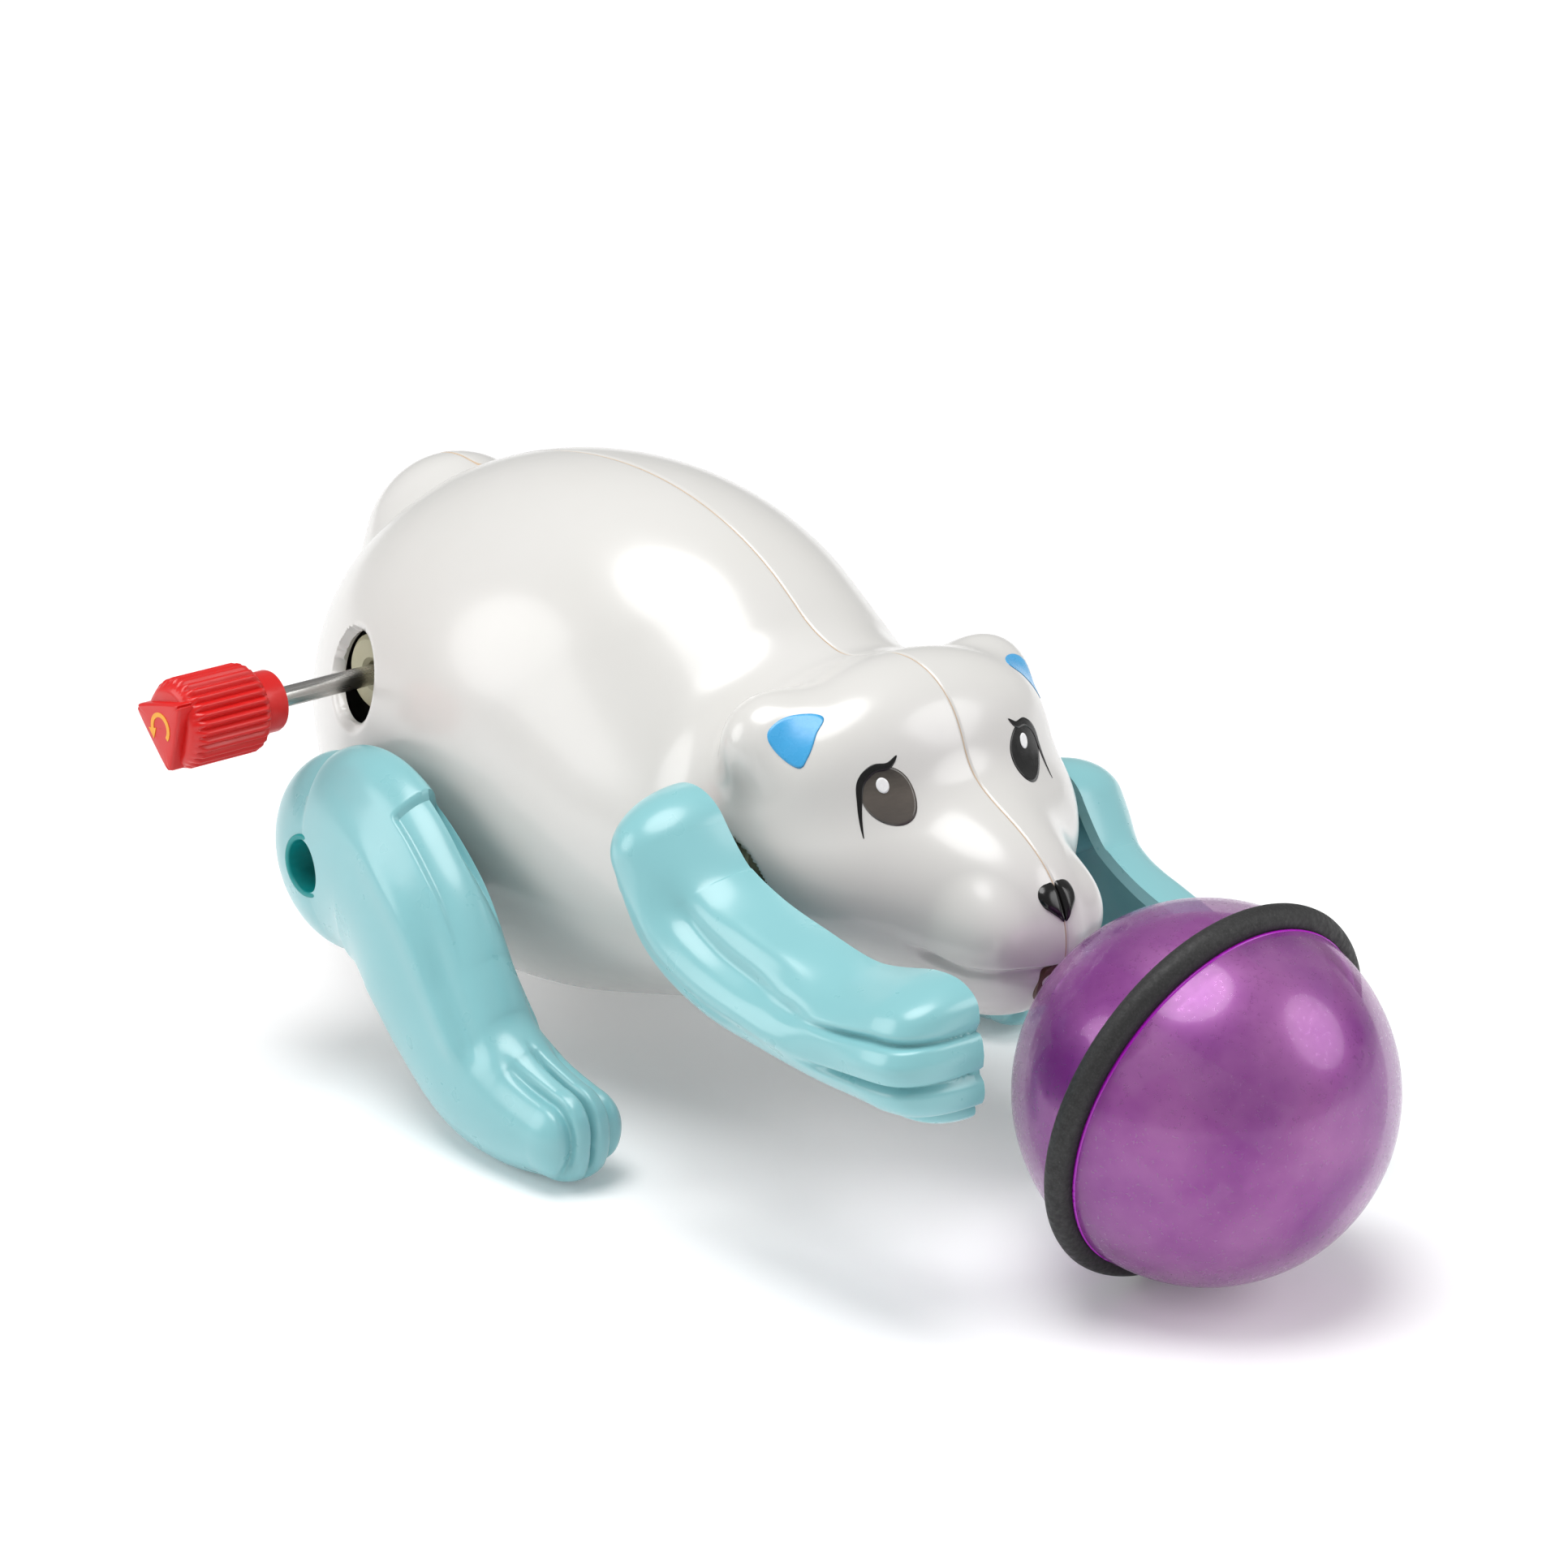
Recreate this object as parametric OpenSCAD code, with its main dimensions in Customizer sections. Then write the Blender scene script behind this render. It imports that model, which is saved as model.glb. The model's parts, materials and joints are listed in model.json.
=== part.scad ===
// Wind-up polar bear that spins a ball held at its mouth.
// Millimetres. +X is forward, +Y is the bear's left, +Z is up.
// The origin is on the floor, under the hip axis, in the middle plane of the bear.

/* [Body shell] */
// Half length of the torso
torso_half_l = 36; // [30:0.5:43]
// Width of the torso at its widest
torso_w = 46; // [39:0.5:55]
// Half height of the torso
torso_half_h = 26.4; // [22:0.1:31]
// Width across the chest
chest_w = 41; // [35:0.5:49]
// Width of the head
head_w = 37; // [30:0.5:43]
// Half length of the muzzle
muzzle_half_l = 11.1; // [9.5:0.1:13.3]
// Diameter of the tail
tail_d = 19; // [16:0.5:23]
// Length of an ear along its tall axis
ear_h = 9; // [7.5:0.1:10.8]
// Thickness of the moulded shells
wall = 1.5; // [1.2:0.05:1.8]

/* [Winding key] */
// Diameter of the steel winding shaft
winding_d = 2; // [1.7:0.1:2.4]
// Radius of the hole in the right flank
key_hole_r = 4.3; // [3.6:0.1:5.1]
// Diameter of the ribbed knob
knob_d = 8.7; // [7.3:0.1:10.5]
// Length of the ribbed barrel of the knob
knob_l = 9; // [7.5:0.1:10.8]
// Number of ribs round the knob
knob_ribs = 30; // [25:1:36]
// Distance from the middle plane to the outer end of the knob
knob_reach = 41.6; // [38:0.1:50]

/* [Ball] */
// Outer radius of the ball
ball_r = 16.7; // [14:0.1:20]
// Wall thickness of the ball
ball_wall = 1.2; // [1:0.05:1.45]
// Section radius of the rubber ring
ring_r = 1.2; // [1:0.05:1.45]
// Gap between the mouth and the back of the ball
mouth_gap = 2.0; // [1.7:0.1:2.4]
// Diameter of the steel ball shaft
ball_shaft_d = 2; // [1.7:0.1:2.2]

/* [Arms and legs] */
// Throw of the two arm cranks
crank_throw = 3.7; // [3.1:0.1:4.1]
// Radius of the shoulder holes
shoulder_hole_r = 5.8; // [5.6:0.1:6.9]
// Depth of an arm, from its open back to its outer face
arm_depth = 8.6; // [7.2:0.1:10.3]
// Wall of the arms and legs
limb_wall = 1.3; // [1.1:0.05:1.55]
// Gap between the arms and the widest part of the chest
arm_gap = 0.7; // [0.6:0.05:0.84]
// Radius of the round hip
hip_r = 9.9; // [8.5:0.1:11.9]
// Radius of the hole in the middle of the hip
hip_hole_r = 3.05; // [2.6:0.05:3.6]

/* [Clockwork] */
// Module of the great wheel and the pinion that it drives
spring_module = 0.6; // [0.6:0.05:0.65]
// Module of all the other wheels
train_module = 0.5; // [0.5:0.01:0.52]
// Face width of the wheels
wheel_w = 1.2; // [1:0.05:1.44]
// Space between the two motor plates
plate_space = 20.4; // [19.8:0.1:21]
// Thickness of the motor plates
plate_t = 1; // [0.8:0.05:1.2]
// Diameter of the fixed steel axles
axle_d = 1.5; // [1.3:0.05:1.8]
// Radial clearance of a running fit
run_clear = 0.05; // [0.02:0.01:0.08]

/* [Hidden] */
$fn = 48;
e = 0.01;

// ---- Outline of the bear: ellipsoids [centre, radii, pitch] that melt into each other ----
torso = [[7.9, 0, 30.8], [torso_half_l, torso_w / 2, torso_half_h], 8];
chest = [[29.2, 0, 27.5], [26.4, chest_w / 2, 17], 1.5];
head = [[49.7, 0, 33], [16, head_w / 2, 10], -32];
face = [[50.5, 0, 39], [8.4, 0.86 * head_w / 2, 8.8], -9];
muzzle = [[61, 0, 26.8], [muzzle_half_l, 8.5, 9.5], -12];
tail = [[torso[0].x - torso_half_l + 14.4, 0, 42.6], [tail_d / 2, tail_d / 2 - 0.5, tail_d / 2 + 0.5], 0];

function clamp(v, lo, hi) = min(max(v, lo), hi);
function melt(a, b, k) = let (h = clamp(0.5 + 0.5 * (b - a) / k, 0, 1)) b * (1 - h) + a * h - k * h * (1 - h);
function pitched(p, t) = [p.x * cos(t) + p.z * sin(t), p.y, p.z * cos(t) - p.x * sin(t)];
// Rough signed distance from point p to an ellipsoid
function blob(p, o) =
    let (q = pitched(p - o[0], o[2]), r = o[1])
    let (u = [q.x / r.x, q.y / r.y, q.z / r.z], v = [u.x / r.x, u.y / r.y, u.z / r.z], k = norm(u))
    k * (k - 1) / max(norm(v), 1e-6);
function bear(p) =
    melt(melt(melt(melt(melt(blob(p, torso), blob(p, chest), 6), blob(p, head), 5), blob(p, face), 3),
        blob(p, muzzle), 5), blob(p, tail), 1.5);
// Distance along direction d from o to the skin, moved in by depth
function reach(o, d, depth, r = 12, n = 16) =
    n == 0 ? r : reach(o, d, depth, r - 0.9 * (bear(o + r * d) + depth), n - 1);
function flank(x, z) = reach([x, 0, z], [0, 1, 0], 0);
// Half width that stays inside the skin all round a post of radius r
function post_end(x, z, r) = min([for (a = [0:45:315]) flank(x + r * cos(a), z + r * sin(a))]) - 0.4;

// ---- Clockwork layout: axes run along Y, positions are [x, z] ----
great_teeth = 42;
second_teeth = 36;
pinion_teeth = 12;
output_teeth = 32;
idler_teeth = 22;
crown_teeth = 20;
escape_teeth = 15;
arbor_at = [-4.7, 36.2];
crank_at = [47, 28.2];
great_pitch_r = great_teeth * spring_module / 2;
great_pinion_r = pinion_teeth * spring_module / 2;
second_pitch_r = second_teeth * train_module / 2;
pinion_pitch_r = pinion_teeth * train_module / 2;
output_pitch_r = output_teeth * train_module / 2;
idler_pitch_r = idler_teeth * train_module / 2;
crown_pitch_r = crown_teeth * train_module / 2;
escape_r = 4.5;
second_dir = -20;
third_dir = -8;
escape_dir = -115;
function polar(r, a) = [r * cos(a), r * sin(a)];
function heading(p, q) = atan2(q.y - p.y, q.x - p.x);
second_at = arbor_at + polar(great_pitch_r + great_pinion_r, second_dir);
third_at = second_at + polar(second_pitch_r + pinion_pitch_r, third_dir);
escape_at = third_at + polar(output_pitch_r + pinion_pitch_r, escape_dir);
pallet_at = escape_at + [-7.2, -0.8];
// The idler sits below the line from the third axle to the crank axle
idler_span = norm(crank_at - third_at) / 2;
idler_drop = sqrt(max(pow(output_pitch_r + idler_pitch_r, 2) - pow(idler_span, 2), 0));
idler_at = (third_at + crank_at) / 2 + polar(idler_drop, heading(third_at, crank_at) - 90);
pillars_at = [[-8, 20], [12.5, 44.5], [36, 39], [26, 17.5]];
pillar_r = 1.2;
// Faces of the pieces along Y
plate_y = plate_space / 2;
spring_y = [-plate_y + 0.6, -4.6];
great_y = -4;
ratchet_y = great_y + wheel_w + 0.3;
second_y = ratchet_y + wheel_w + 0.9;
output_y = second_y + wheel_w + 2.9;
escape_y = output_y + wheel_w + 0.8;
// Teeth: [addendum, dedendum] as shares of the module, and the thinning of each tooth in mm
addendum = 0.95;
dedendum = 1.25;
tooth_play = 0.06;
pressure = 25;
// Angle of a tooth of the follower so that it meshes with the driver
function mesh(dir, phase, n_driver, n_follower) = dir + 180 + 180 / n_follower - (phase - dir) * n_driver / n_follower;
great_phase = second_dir;
second_pinion_phase = mesh(second_dir, great_phase, great_teeth, pinion_teeth);
second_phase = third_dir;
third_pinion_phase = mesh(third_dir, second_phase, second_teeth, pinion_teeth);
third_phase = heading(third_at, idler_at);
idler_phase = mesh(third_phase, third_phase, output_teeth, idler_teeth);
crank_phase = mesh(heading(idler_at, crank_at), idler_phase, idler_teeth, output_teeth);
escape_pinion_phase = mesh(escape_dir, third_phase, output_teeth, pinion_teeth);

// ---- Ball: its axis leaves the crank axle and dips until the ring rests on the floor ----
ring_pitch_r = ball_r + 0.4;
crank_3d = [crank_at.x, 0, crank_at.y];
function dip_dir(t) = [cos(t), 0, -sin(t)];
function ball_distance(t) = reach(crank_3d, dip_dir(t), 0, 20, 24) + mouth_gap + ball_r;
function dip_for(l) = asin((crank_at.y - ring_r) / norm([l, ring_pitch_r])) - atan2(ring_pitch_r, l);
first_dip = dip_for(ball_distance(13));
dip = dip_for(ball_distance(first_dip));
mouth_l = reach(crank_3d, dip_dir(dip), 0, 20, 24);
ball_l = mouth_l + mouth_gap + ball_r;
bearing_l = 10.5;
bearing_size = 6;
bearing_w = 3;
rib_h = 4;
rib_w = 2.2;
rib_at = crank_3d + (bearing_l + bearing_w / 2) * dip_dir(dip);
rib_end = post_end(rib_at.x, rib_at.z, rib_h / 2);
bush_r = 2.4;

// ---- Limbs ----
crank_turn = 100;
arm_rim = chest_w / 2 + arm_gap;
crank_pin_r = 1.2;
crank_y = 14;
pin_right = crank_at + polar(crank_throw, crank_turn);
pin_left = crank_at - polar(crank_throw, crank_turn);
left_arm_pitch = 7;
// Middle line of an arm from the crank pin: [x, z, half width]
arm_line = [[0.2, 2.3, 5.2], [4, -2.9, 6.2], [9.6, -5.6, 6.3], [16.6, -6.8, 5.9], [24.6, -7.6, 5.6], [32, -7, 6.4]];
hip_at = [0.8, 21.2];
hip_inner_y = torso_w / 2 + 0.4;
hip_seam_y = hip_inner_y + 1.3;
foot_h = 6.1;
sole_cut = 0.8;
peg_r = 2.25;
peg_end = hip_seam_y + 2;
// Middle line of a leg: [x, parting plane from the middle, z, half height, outer depth, inner depth]
leg_line = [
    [hip_at.x, hip_seam_y, hip_at.y, hip_r, 6.3, 1.3],
    [7.5, hip_seam_y + 1, 21.9, 11.3, 6.4, 2.2],
    [15.5, hip_seam_y + 2.2, 18.3, 10.9, 6.3, 3.4],
    [21.2, hip_seam_y + 3.1, 13.2, 9.2, 5.6, 4.4],
    [26.8, hip_seam_y + 3.6, foot_h - sole_cut, foot_h, 5.2, 5],
    [36.6, hip_seam_y + 3.4, foot_h, foot_h - 1.7, 4.6, 5]
];
screws_at = [[-18, 25], [26, 46], [43, 16.3]];
post_r = 2.9;
ledge_r = 2;

// ---- Shared shapes ----
// A cylinder of radius r along Y, from y0 to y1, at [x, z]
module rod(at, r, y0, y1) {
    translate([at.x, y1, at.y])
        rotate([90, 0, 0])
            cylinder(r = r, h = y1 - y0);
}

// Puts children drawn in XY into the XZ plane at [x, z], with their height along +Y from y0
module upright(at, y0) {
    translate([at.x, y0, at.y])
        rotate([90, 0, 0])
            mirror([0, 0, 1])
                children();
}

// Moves children from the crank axle out along the ball's axis, which becomes +Z
module along_ball(l) {
    translate(crank_3d + l * dip_dir(dip))
        rotate([0, 90 + dip, 0])
            children();
}

// Angle between a tooth's middle and its flank at radius r
function tooth_angle(n, m, r) =
    let (rp = n * m / 2, rb = rp * cos(pressure), a = acos(min(rb / r, 1)))
    90 / n - tooth_play / rp * 90 / PI + (tan(pressure) - tan(a)) * 180 / PI - pressure + a;

function gear_outline(n, m, phase) =
    let (rp = n * m / 2, root = rp - dedendum * m, tip = rp + addendum * m)
    let (rb = max(rp * cos(pressure), root), radii = [root, rb, (rb + tip) / 2 + 0.1 * m, tip])
    [for (i = [0:n - 1]) each concat(
        [for (k = [0:3]) polar(radii[k], phase + i * 360 / n - tooth_angle(n, m, max(radii[k], rb)))],
        [for (k = [3:-1:0]) polar(radii[k], phase + i * 360 / n + tooth_angle(n, m, max(radii[k], rb)))])];

// A spur gear on the axis [x, z] with its lower face at y0
module gear(at, n, m, phase, y0, w, bore) {
    upright(at, y0)
        difference() {
            linear_extrude(w)
                polygon(gear_outline(n, m, phase));
            translate([0, 0, -1])
                cylinder(r = bore, h = w + 2);
        }
}

// Closed shell between two domes of points with the same rows and columns.
// The first and last rows of each are poles, and column 0 and the last column lie on the open rim.
module dome_shell(outer, inner) {
    rows = len(outer) - 1;
    cols = len(outer[0]) - 1;
    count = (rows - 1) * (cols + 1) + 2;
    points = [for (d = [outer, inner]) each concat(
        [d[0][0]], [for (i = [1:rows - 1], j = [0:cols]) d[i][j]], [d[rows][0]])];
    function at(side, i, j) = side * count + (i == 0 ? 0 : i == rows ? count - 1 : 1 + (i - 1) * (cols + 1) + j);
    function tri(a, b, c, flip) = a == b || b == c || a == c ? [] : [flip ? [a, c, b] : [a, b, c]];
    function quad(a, b, c, d, flip) = concat(tri(a, b, c, flip), tri(a, c, d, flip));
    skins = [for (s = [0, 1], i = [0:rows - 1], j = [0:cols - 1]) each
        quad(at(s, i, j), at(s, i + 1, j), at(s, i + 1, j + 1), at(s, i, j + 1), s == 1)];
    rims = [for (j = [0, cols], i = [0:rows - 1]) each
        quad(at(0, i, j), at(1, i, j), at(1, i + 1, j), at(0, i + 1, j), j == cols)];
    polyhedron(points, concat(skins, rims), convexity = 8);
}

// ---- Body shells ----
skin_rows = 30;
skin_cols = 13;
spine_rear = [-9, 0, 32];
spine_front = [57, 0, 27];
function skin(depth) = [for (i = [0:skin_rows])
    let (a = 180 * i / skin_rows, o = spine_rear + (spine_front - spine_rear) * (1 - cos(a)) / 2)
    [for (j = [0:skin_cols])
        let (b = 90 - 180 * j / skin_cols, d = [-cos(a), -sin(a) * cos(b), sin(a) * sin(b)])
        o + reach(o, d, depth) * d]];

// Balls that the right ear is drawn round: [x, y, z, radius]
ear_balls = [
    [48, -0.64 * head_w / 2, 43.6, ear_h / 4],
    [48, -0.83 * head_w / 2, 42.6, ear_h / 4],
    [48, -0.78 * head_w / 2, 40.6, ear_h / 4]
];
module ear() {
    hull() {
        for (b = ear_balls) {
            translate([b[0], b[1], b[2]])
                sphere(r = b[3], $fn = 20);
        }
    }
}

// Half shell on the right (-Y) with everything that both halves share
module half_body() {
    difference() {
        union() {
            dome_shell(skin(0), skin(wall));
            ear();
            for (s = screws_at) {
                rod(s, post_r, -post_end(s.x, s.y, post_r), 0);
            }
            // Ledges that the motor plates rest against
            for (p = pillars_at) {
                rod(p, ledge_r, -post_end(p.x, p.y, ledge_r), -plate_y - plate_t);
            }
            // Rib that clasps the ball shaft's bearing
            along_ball(bearing_l)
                translate([-rib_h / 2, -rib_end, (bearing_w - rib_w) / 2])
                    cube([rib_h, rib_end - bearing_size / 2, rib_w]);
            // Peg that the leg turns on
            rod(hip_at, peg_r, -peg_end, -flank(hip_at.x, hip_at.y) + wall / 2);
        }
        rod(crank_at, shoulder_hole_r, -40, -crank_y + 1);
        // Seat of the mouth bush
        along_ball(mouth_l - 4)
            cylinder(r = bush_r, h = 12);
        // Pilot hole of the hip screw
        rod(hip_at, 0.7, -40, -peg_end + 5);
    }
}

module shell_right() {
    color("white")
        difference() {
            half_body();
            rod(arbor_at, key_hole_r, -40, -plate_y - 2);
            for (s = screws_at) {
                rod(s, 0.7, -4.5, 1);
            }
        }
}

function seat_y(s) = post_end(s.x, s.y, post_r) * 0.55;

module shell_left() {
    color("white")
        difference() {
            mirror([0, 1, 0])
                half_body();
            for (s = screws_at) {
                rod(s, 1, -1, 40);
                rod(s, 2.1, seat_y(s), 40);
            }
        }
}

module shell_screws() {
    color("silver")
        for (s = screws_at) {
            difference() {
                rod(s, 1.9, seat_y(s), seat_y(s) + 1.3);
                translate([s.x - 1.3, seat_y(s) + 0.7, s.y - 0.25])
                    cube([2.6, 2, 0.5]);
                translate([s.x - 0.25, seat_y(s) + 0.7, s.y - 1.3])
                    cube([0.5, 2, 2.6]);
            }
            rod(s, 0.7, -4, seat_y(s));
        }
}

// ---- Motor frame ----
plate_outline = [
    pillars_at[0] + [-3, -3], [pillars_at[0].x - 3, arbor_at.y], arbor_at + [-4, 5],
    pillars_at[1] + [-3, 3], pillars_at[1] + [3, 2], pillars_at[1] + [4, -1.5], pillars_at[2] + [-3, 2],
    pillars_at[2] + [1, 3], pillars_at[2] + [4, 1],
    crank_at + [3.5, 4], crank_at + [3.5, -4], idler_at + [4, -5], pillars_at[3] + [3, -2.5]
];

module motor_plate(y0) {
    color("gainsboro")
        difference() {
            upright([0, 0], y0)
                linear_extrude(plate_t)
                    polygon(plate_outline);
            for (at = [second_at, third_at, idler_at, escape_at, pallet_at]) {
                rod(at, axle_d / 2, y0 - 1, y0 + plate_t + 1);
            }
            rod(arbor_at, winding_d / 2 + run_clear, y0 - 1, y0 + plate_t + 1);
            rod(crank_at, 1 + run_clear, y0 - 1, y0 + plate_t + 1);
            for (p = pillars_at) {
                rod(p, 0.6, y0 - 1, y0 + plate_t + 1);
            }
        }
}

module motor_plate_right() {
    motor_plate(-plate_y - plate_t);
}

module motor_plate_left() {
    motor_plate(plate_y);
}

module plate_pillars() {
    color("darkgray")
        for (p = pillars_at) {
            difference() {
                rod(p, pillar_r, -plate_y, plate_y);
                rod(p, 0.6, -plate_y - 1, -plate_y + 4);
                rod(p, 0.6, plate_y - 4, plate_y + 1);
            }
        }
}

// Studs that join the plates to the pillars
module plate_screws() {
    color("silver")
        for (p = pillars_at, side = [-1, 1]) {
            rod(p, 0.6, side < 0 ? -plate_y - plate_t : plate_y - 3.5, side < 0 ? -plate_y + 3.5 : plate_y + plate_t);
        }
}

// A fixed steel axle between the plates
module axle(at) {
    color("silver")
        rod(at, axle_d / 2, -plate_y - plate_t, plate_y + plate_t);
}

module second_axle() {
    axle(second_at);
}

module third_axle() {
    axle(third_at);
}

module idler_axle() {
    axle(idler_at);
}

module escape_axle() {
    axle(escape_at);
}

module pallet_axle() {
    axle(pallet_at);
}

// ---- Winding key and mainspring ----
module winding_shaft() {
    color("silver") {
        rod(arbor_at, winding_d / 2, -knob_reach + knob_solid, plate_y + plate_t + 0.6);
        // Collar that the spring's inner end hooks on
        rod(arbor_at, winding_d / 2 + 1, spring_y[0], spring_y[1]);
    }
}

collar_d = 6;
collar_l = 2.6;
rib_depth = 0.35;
pad_h = 1;
knob_solid = 4;
module winding_knob() {
    color("red")
        difference() {
            upright(arbor_at, -knob_reach) {
                linear_extrude(knob_l)
                    polygon([for (i = [0:knob_ribs - 1], k = [0:3])
                        polar(knob_d / 2 - (k < 2 ? 0 : rib_depth), (i + k / 4) * 360 / knob_ribs)]);
                translate([0, 0, knob_l - e])
                    cylinder(d = collar_d, h = collar_l);
                // Raised pad on the end
                translate([0, 0, -pad_h])
                    linear_extrude(pad_h + e)
                        polygon([for (a = [90, 210, 330]) polar(knob_d / 2, a)]);
            }
            rod(arbor_at, winding_d / 2, -knob_reach + knob_solid, -20);
        }
}

spring_turns = 5;
spring_t = 0.35;
spring_inner_r = winding_d / 2 + 1.4;
spring_outer_r = 9.5;
// The outer end swings out to the first pillar
spring_sweep = 360 * spring_turns + heading(arbor_at, pillars_at[0]);
spring_tail_r = norm(pillars_at[0] - arbor_at) - pillar_r - spring_t;
spring_steps = 110;
function coil_r(a) = spring_inner_r + (spring_outer_r - spring_inner_r) * a / spring_sweep
    + (spring_tail_r - spring_outer_r) * pow(max(1 - (spring_sweep - a) / 90, 0), 2);
module mainspring() {
    turns = [for (i = [0:spring_steps]) spring_sweep * i / spring_steps];
    color("steelblue")
        upright(arbor_at, spring_y[0])
            linear_extrude(spring_y[1] - spring_y[0])
                polygon(concat(
                    [for (a = turns) polar(coil_r(a), a)],
                    [for (i = [spring_steps:-1:0]) polar(coil_r(turns[i]) + spring_t, turns[i])]));
}

module great_wheel() {
    color("gold")
        gear(arbor_at, great_teeth, spring_module, great_phase, great_y, wheel_w, winding_d / 2 + run_clear);
}

ratchet_r = 3.6;
module ratchet_wheel() {
    teeth = 12;
    color("darkgoldenrod")
        upright(arbor_at, ratchet_y)
            difference() {
                linear_extrude(wheel_w)
                    polygon([for (i = [0:teeth - 1]) each [
                        polar(ratchet_r, i * 360 / teeth),
                        polar(ratchet_r - 0.7, i * 360 / teeth + 3)]]);
                translate([0, 0, -1])
                    cylinder(d = winding_d, h = wheel_w + 2);
            }
}

// Springy click on the great wheel, with its nose just clear of the ratchet teeth
click_dir = 60;
click_lean = 150;
click_at = arbor_at + polar(7.6, click_dir);
module click() {
    color("goldenrod")
        difference() {
            union() {
                rod(click_at, 1.3, great_y + wheel_w, ratchet_y + wheel_w);
                upright(click_at, great_y + wheel_w + 0.2)
                    rotate(click_dir + click_lean)
                        translate([0, -0.4, 0])
                            cube([4.6, 0.8, wheel_w - 0.2]);
            }
            rod(click_at, 0.5, great_y, ratchet_y + 4);
        }
}

module click_rivet() {
    color("silver")
        union() {
            rod(click_at, 0.5, great_y + wheel_w - e, ratchet_y + wheel_w + 0.1);
            rod(click_at, 1, ratchet_y + wheel_w, ratchet_y + wheel_w + 0.5);
        }
}

// ---- Wheels of the train ----
// A wheel and a pinion moulded in one piece
module wheel_and_pinion(at, wheel, pinion, join) {
    bore = axle_d / 2 + run_clear;
    gear(at, wheel[0], wheel[1], wheel[2], wheel[3], wheel_w, bore);
    gear(at, pinion[0], pinion[1], pinion[2], pinion[3], pinion[4], bore);
    difference() {
        rod(at, 2, join[0], join[1]);
        rod(at, bore, join[0] - 1, join[1] + 1);
    }
}

module second_wheel() {
    color("khaki")
        wheel_and_pinion(second_at,
            [second_teeth, train_module, second_phase, second_y],
            [pinion_teeth, spring_module, second_pinion_phase, great_y - 0.4, wheel_w + 0.8],
            [great_y, second_y + 0.5]);
}

module third_wheel() {
    color("khaki")
        wheel_and_pinion(third_at,
            [output_teeth, train_module, third_phase, output_y],
            [pinion_teeth, train_module, third_pinion_phase, second_y - 0.4, wheel_w + 0.8],
            [second_y, output_y + 0.5]);
}

module idler_gear() {
    color("khaki")
        gear(idler_at, idler_teeth, train_module, idler_phase, output_y, wheel_w, axle_d / 2 + run_clear);
}

module escape_wheel() {
    bore = axle_d / 2 + run_clear;
    color("khaki") {
        gear(escape_at, pinion_teeth, train_module, escape_pinion_phase, output_y - 0.4, escape_y - output_y + 0.5, bore);
        upright(escape_at, escape_y)
            difference() {
                linear_extrude(1)
                    polygon([for (i = [0:escape_teeth - 1]) each [
                        polar(escape_r, i * 360 / escape_teeth),
                        polar(escape_r - 1.2, i * 360 / escape_teeth + 5)]]);
                translate([0, 0, -1])
                    cylinder(r = bore, h = 3);
            }
    }
}

// Rocking pallet with two noses that stay just outside the escape wheel
module pallet() {
    face = heading(pallet_at, escape_at);
    color("white")
        difference() {
            union() {
                rod(pallet_at, 1.6, escape_y, escape_y + 1);
                for (side = [-1, 1]) {
                    upright(pallet_at, escape_y)
                        rotate(face + side * 62)
                            translate([0, -0.5, 0])
                                cube([6, 1, 1]);
                    upright(pallet_at, escape_y)
                        rotate(face + side * 62)
                            translate([5, side > 0 ? -2 : 0.4, 0])
                                cube([1, 1.6, 1]);
                }
            }
            rod(pallet_at, axle_d / 2 + run_clear, escape_y - 1, escape_y + 2);
        }
}

// ---- Crank axle and cranks ----
module crank_axle() {
    color("silver")
        rod(crank_at, 1, -crank_y, crank_y);
}

module crank_gear() {
    color("khaki")
        gear(crank_at, output_teeth, train_module, crank_phase, output_y, wheel_w, 1);
}

crown_face = -pinion_pitch_r - dedendum * train_module;
module crown_wheel() {
    half_w = 0.8;
    t = train_module * PI / 2 - 0.2;
    lean = tan(20);
    color("khaki") {
        difference() {
            rod(crank_at, crown_pitch_r + half_w, crown_face - 1.4, crown_face);
            rod(crank_at, 1, crown_face - 2, crown_face + 1);
        }
        for (i = [0:crown_teeth - 1]) {
            translate(crank_3d)
                rotate([0, dip + i * 360 / crown_teeth, 0])
                    translate([crown_pitch_r - half_w, crown_face - e, 0])
                        rotate([90, 0, 90])
                            linear_extrude(2 * half_w)
                                polygon([
                                    [0, -t / 2 - lean * dedendum * train_module],
                                    [0, t / 2 + lean * dedendum * train_module],
                                    [(dedendum + addendum) * train_module, t / 2 - lean * addendum * train_module],
                                    [(dedendum + addendum) * train_module, -t / 2 + lean * addendum * train_module]]);
        }
    }
}

// Crank web on the right end of the axle, with the pin that carries an arm
module crank(turn) {
    web_t = 2;
    pin_at = crank_at + polar(crank_throw, turn);
    color("lightgray")
        difference() {
            union() {
                rod(crank_at, 2, -crank_y - web_t + e, -crank_y + 2);
                rod(pin_at, crank_pin_r + 0.4, -crank_y - web_t, -crank_y);
                upright(crank_at, -crank_y - web_t)
                    rotate(turn)
                        translate([0, -1.4, 0])
                            cube([crank_throw, 2.8, web_t]);
                rod(pin_at, crank_pin_r, -arm_rim - 4.5, -crank_y - web_t);
            }
            rod(crank_at, 1, -crank_y, -crank_y + 3);
        }
}

module crank_right() {
    crank(crank_turn);
}

module crank_left() {
    mirror([0, 1, 0])
        crank(crank_turn + 180);
}

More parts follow.
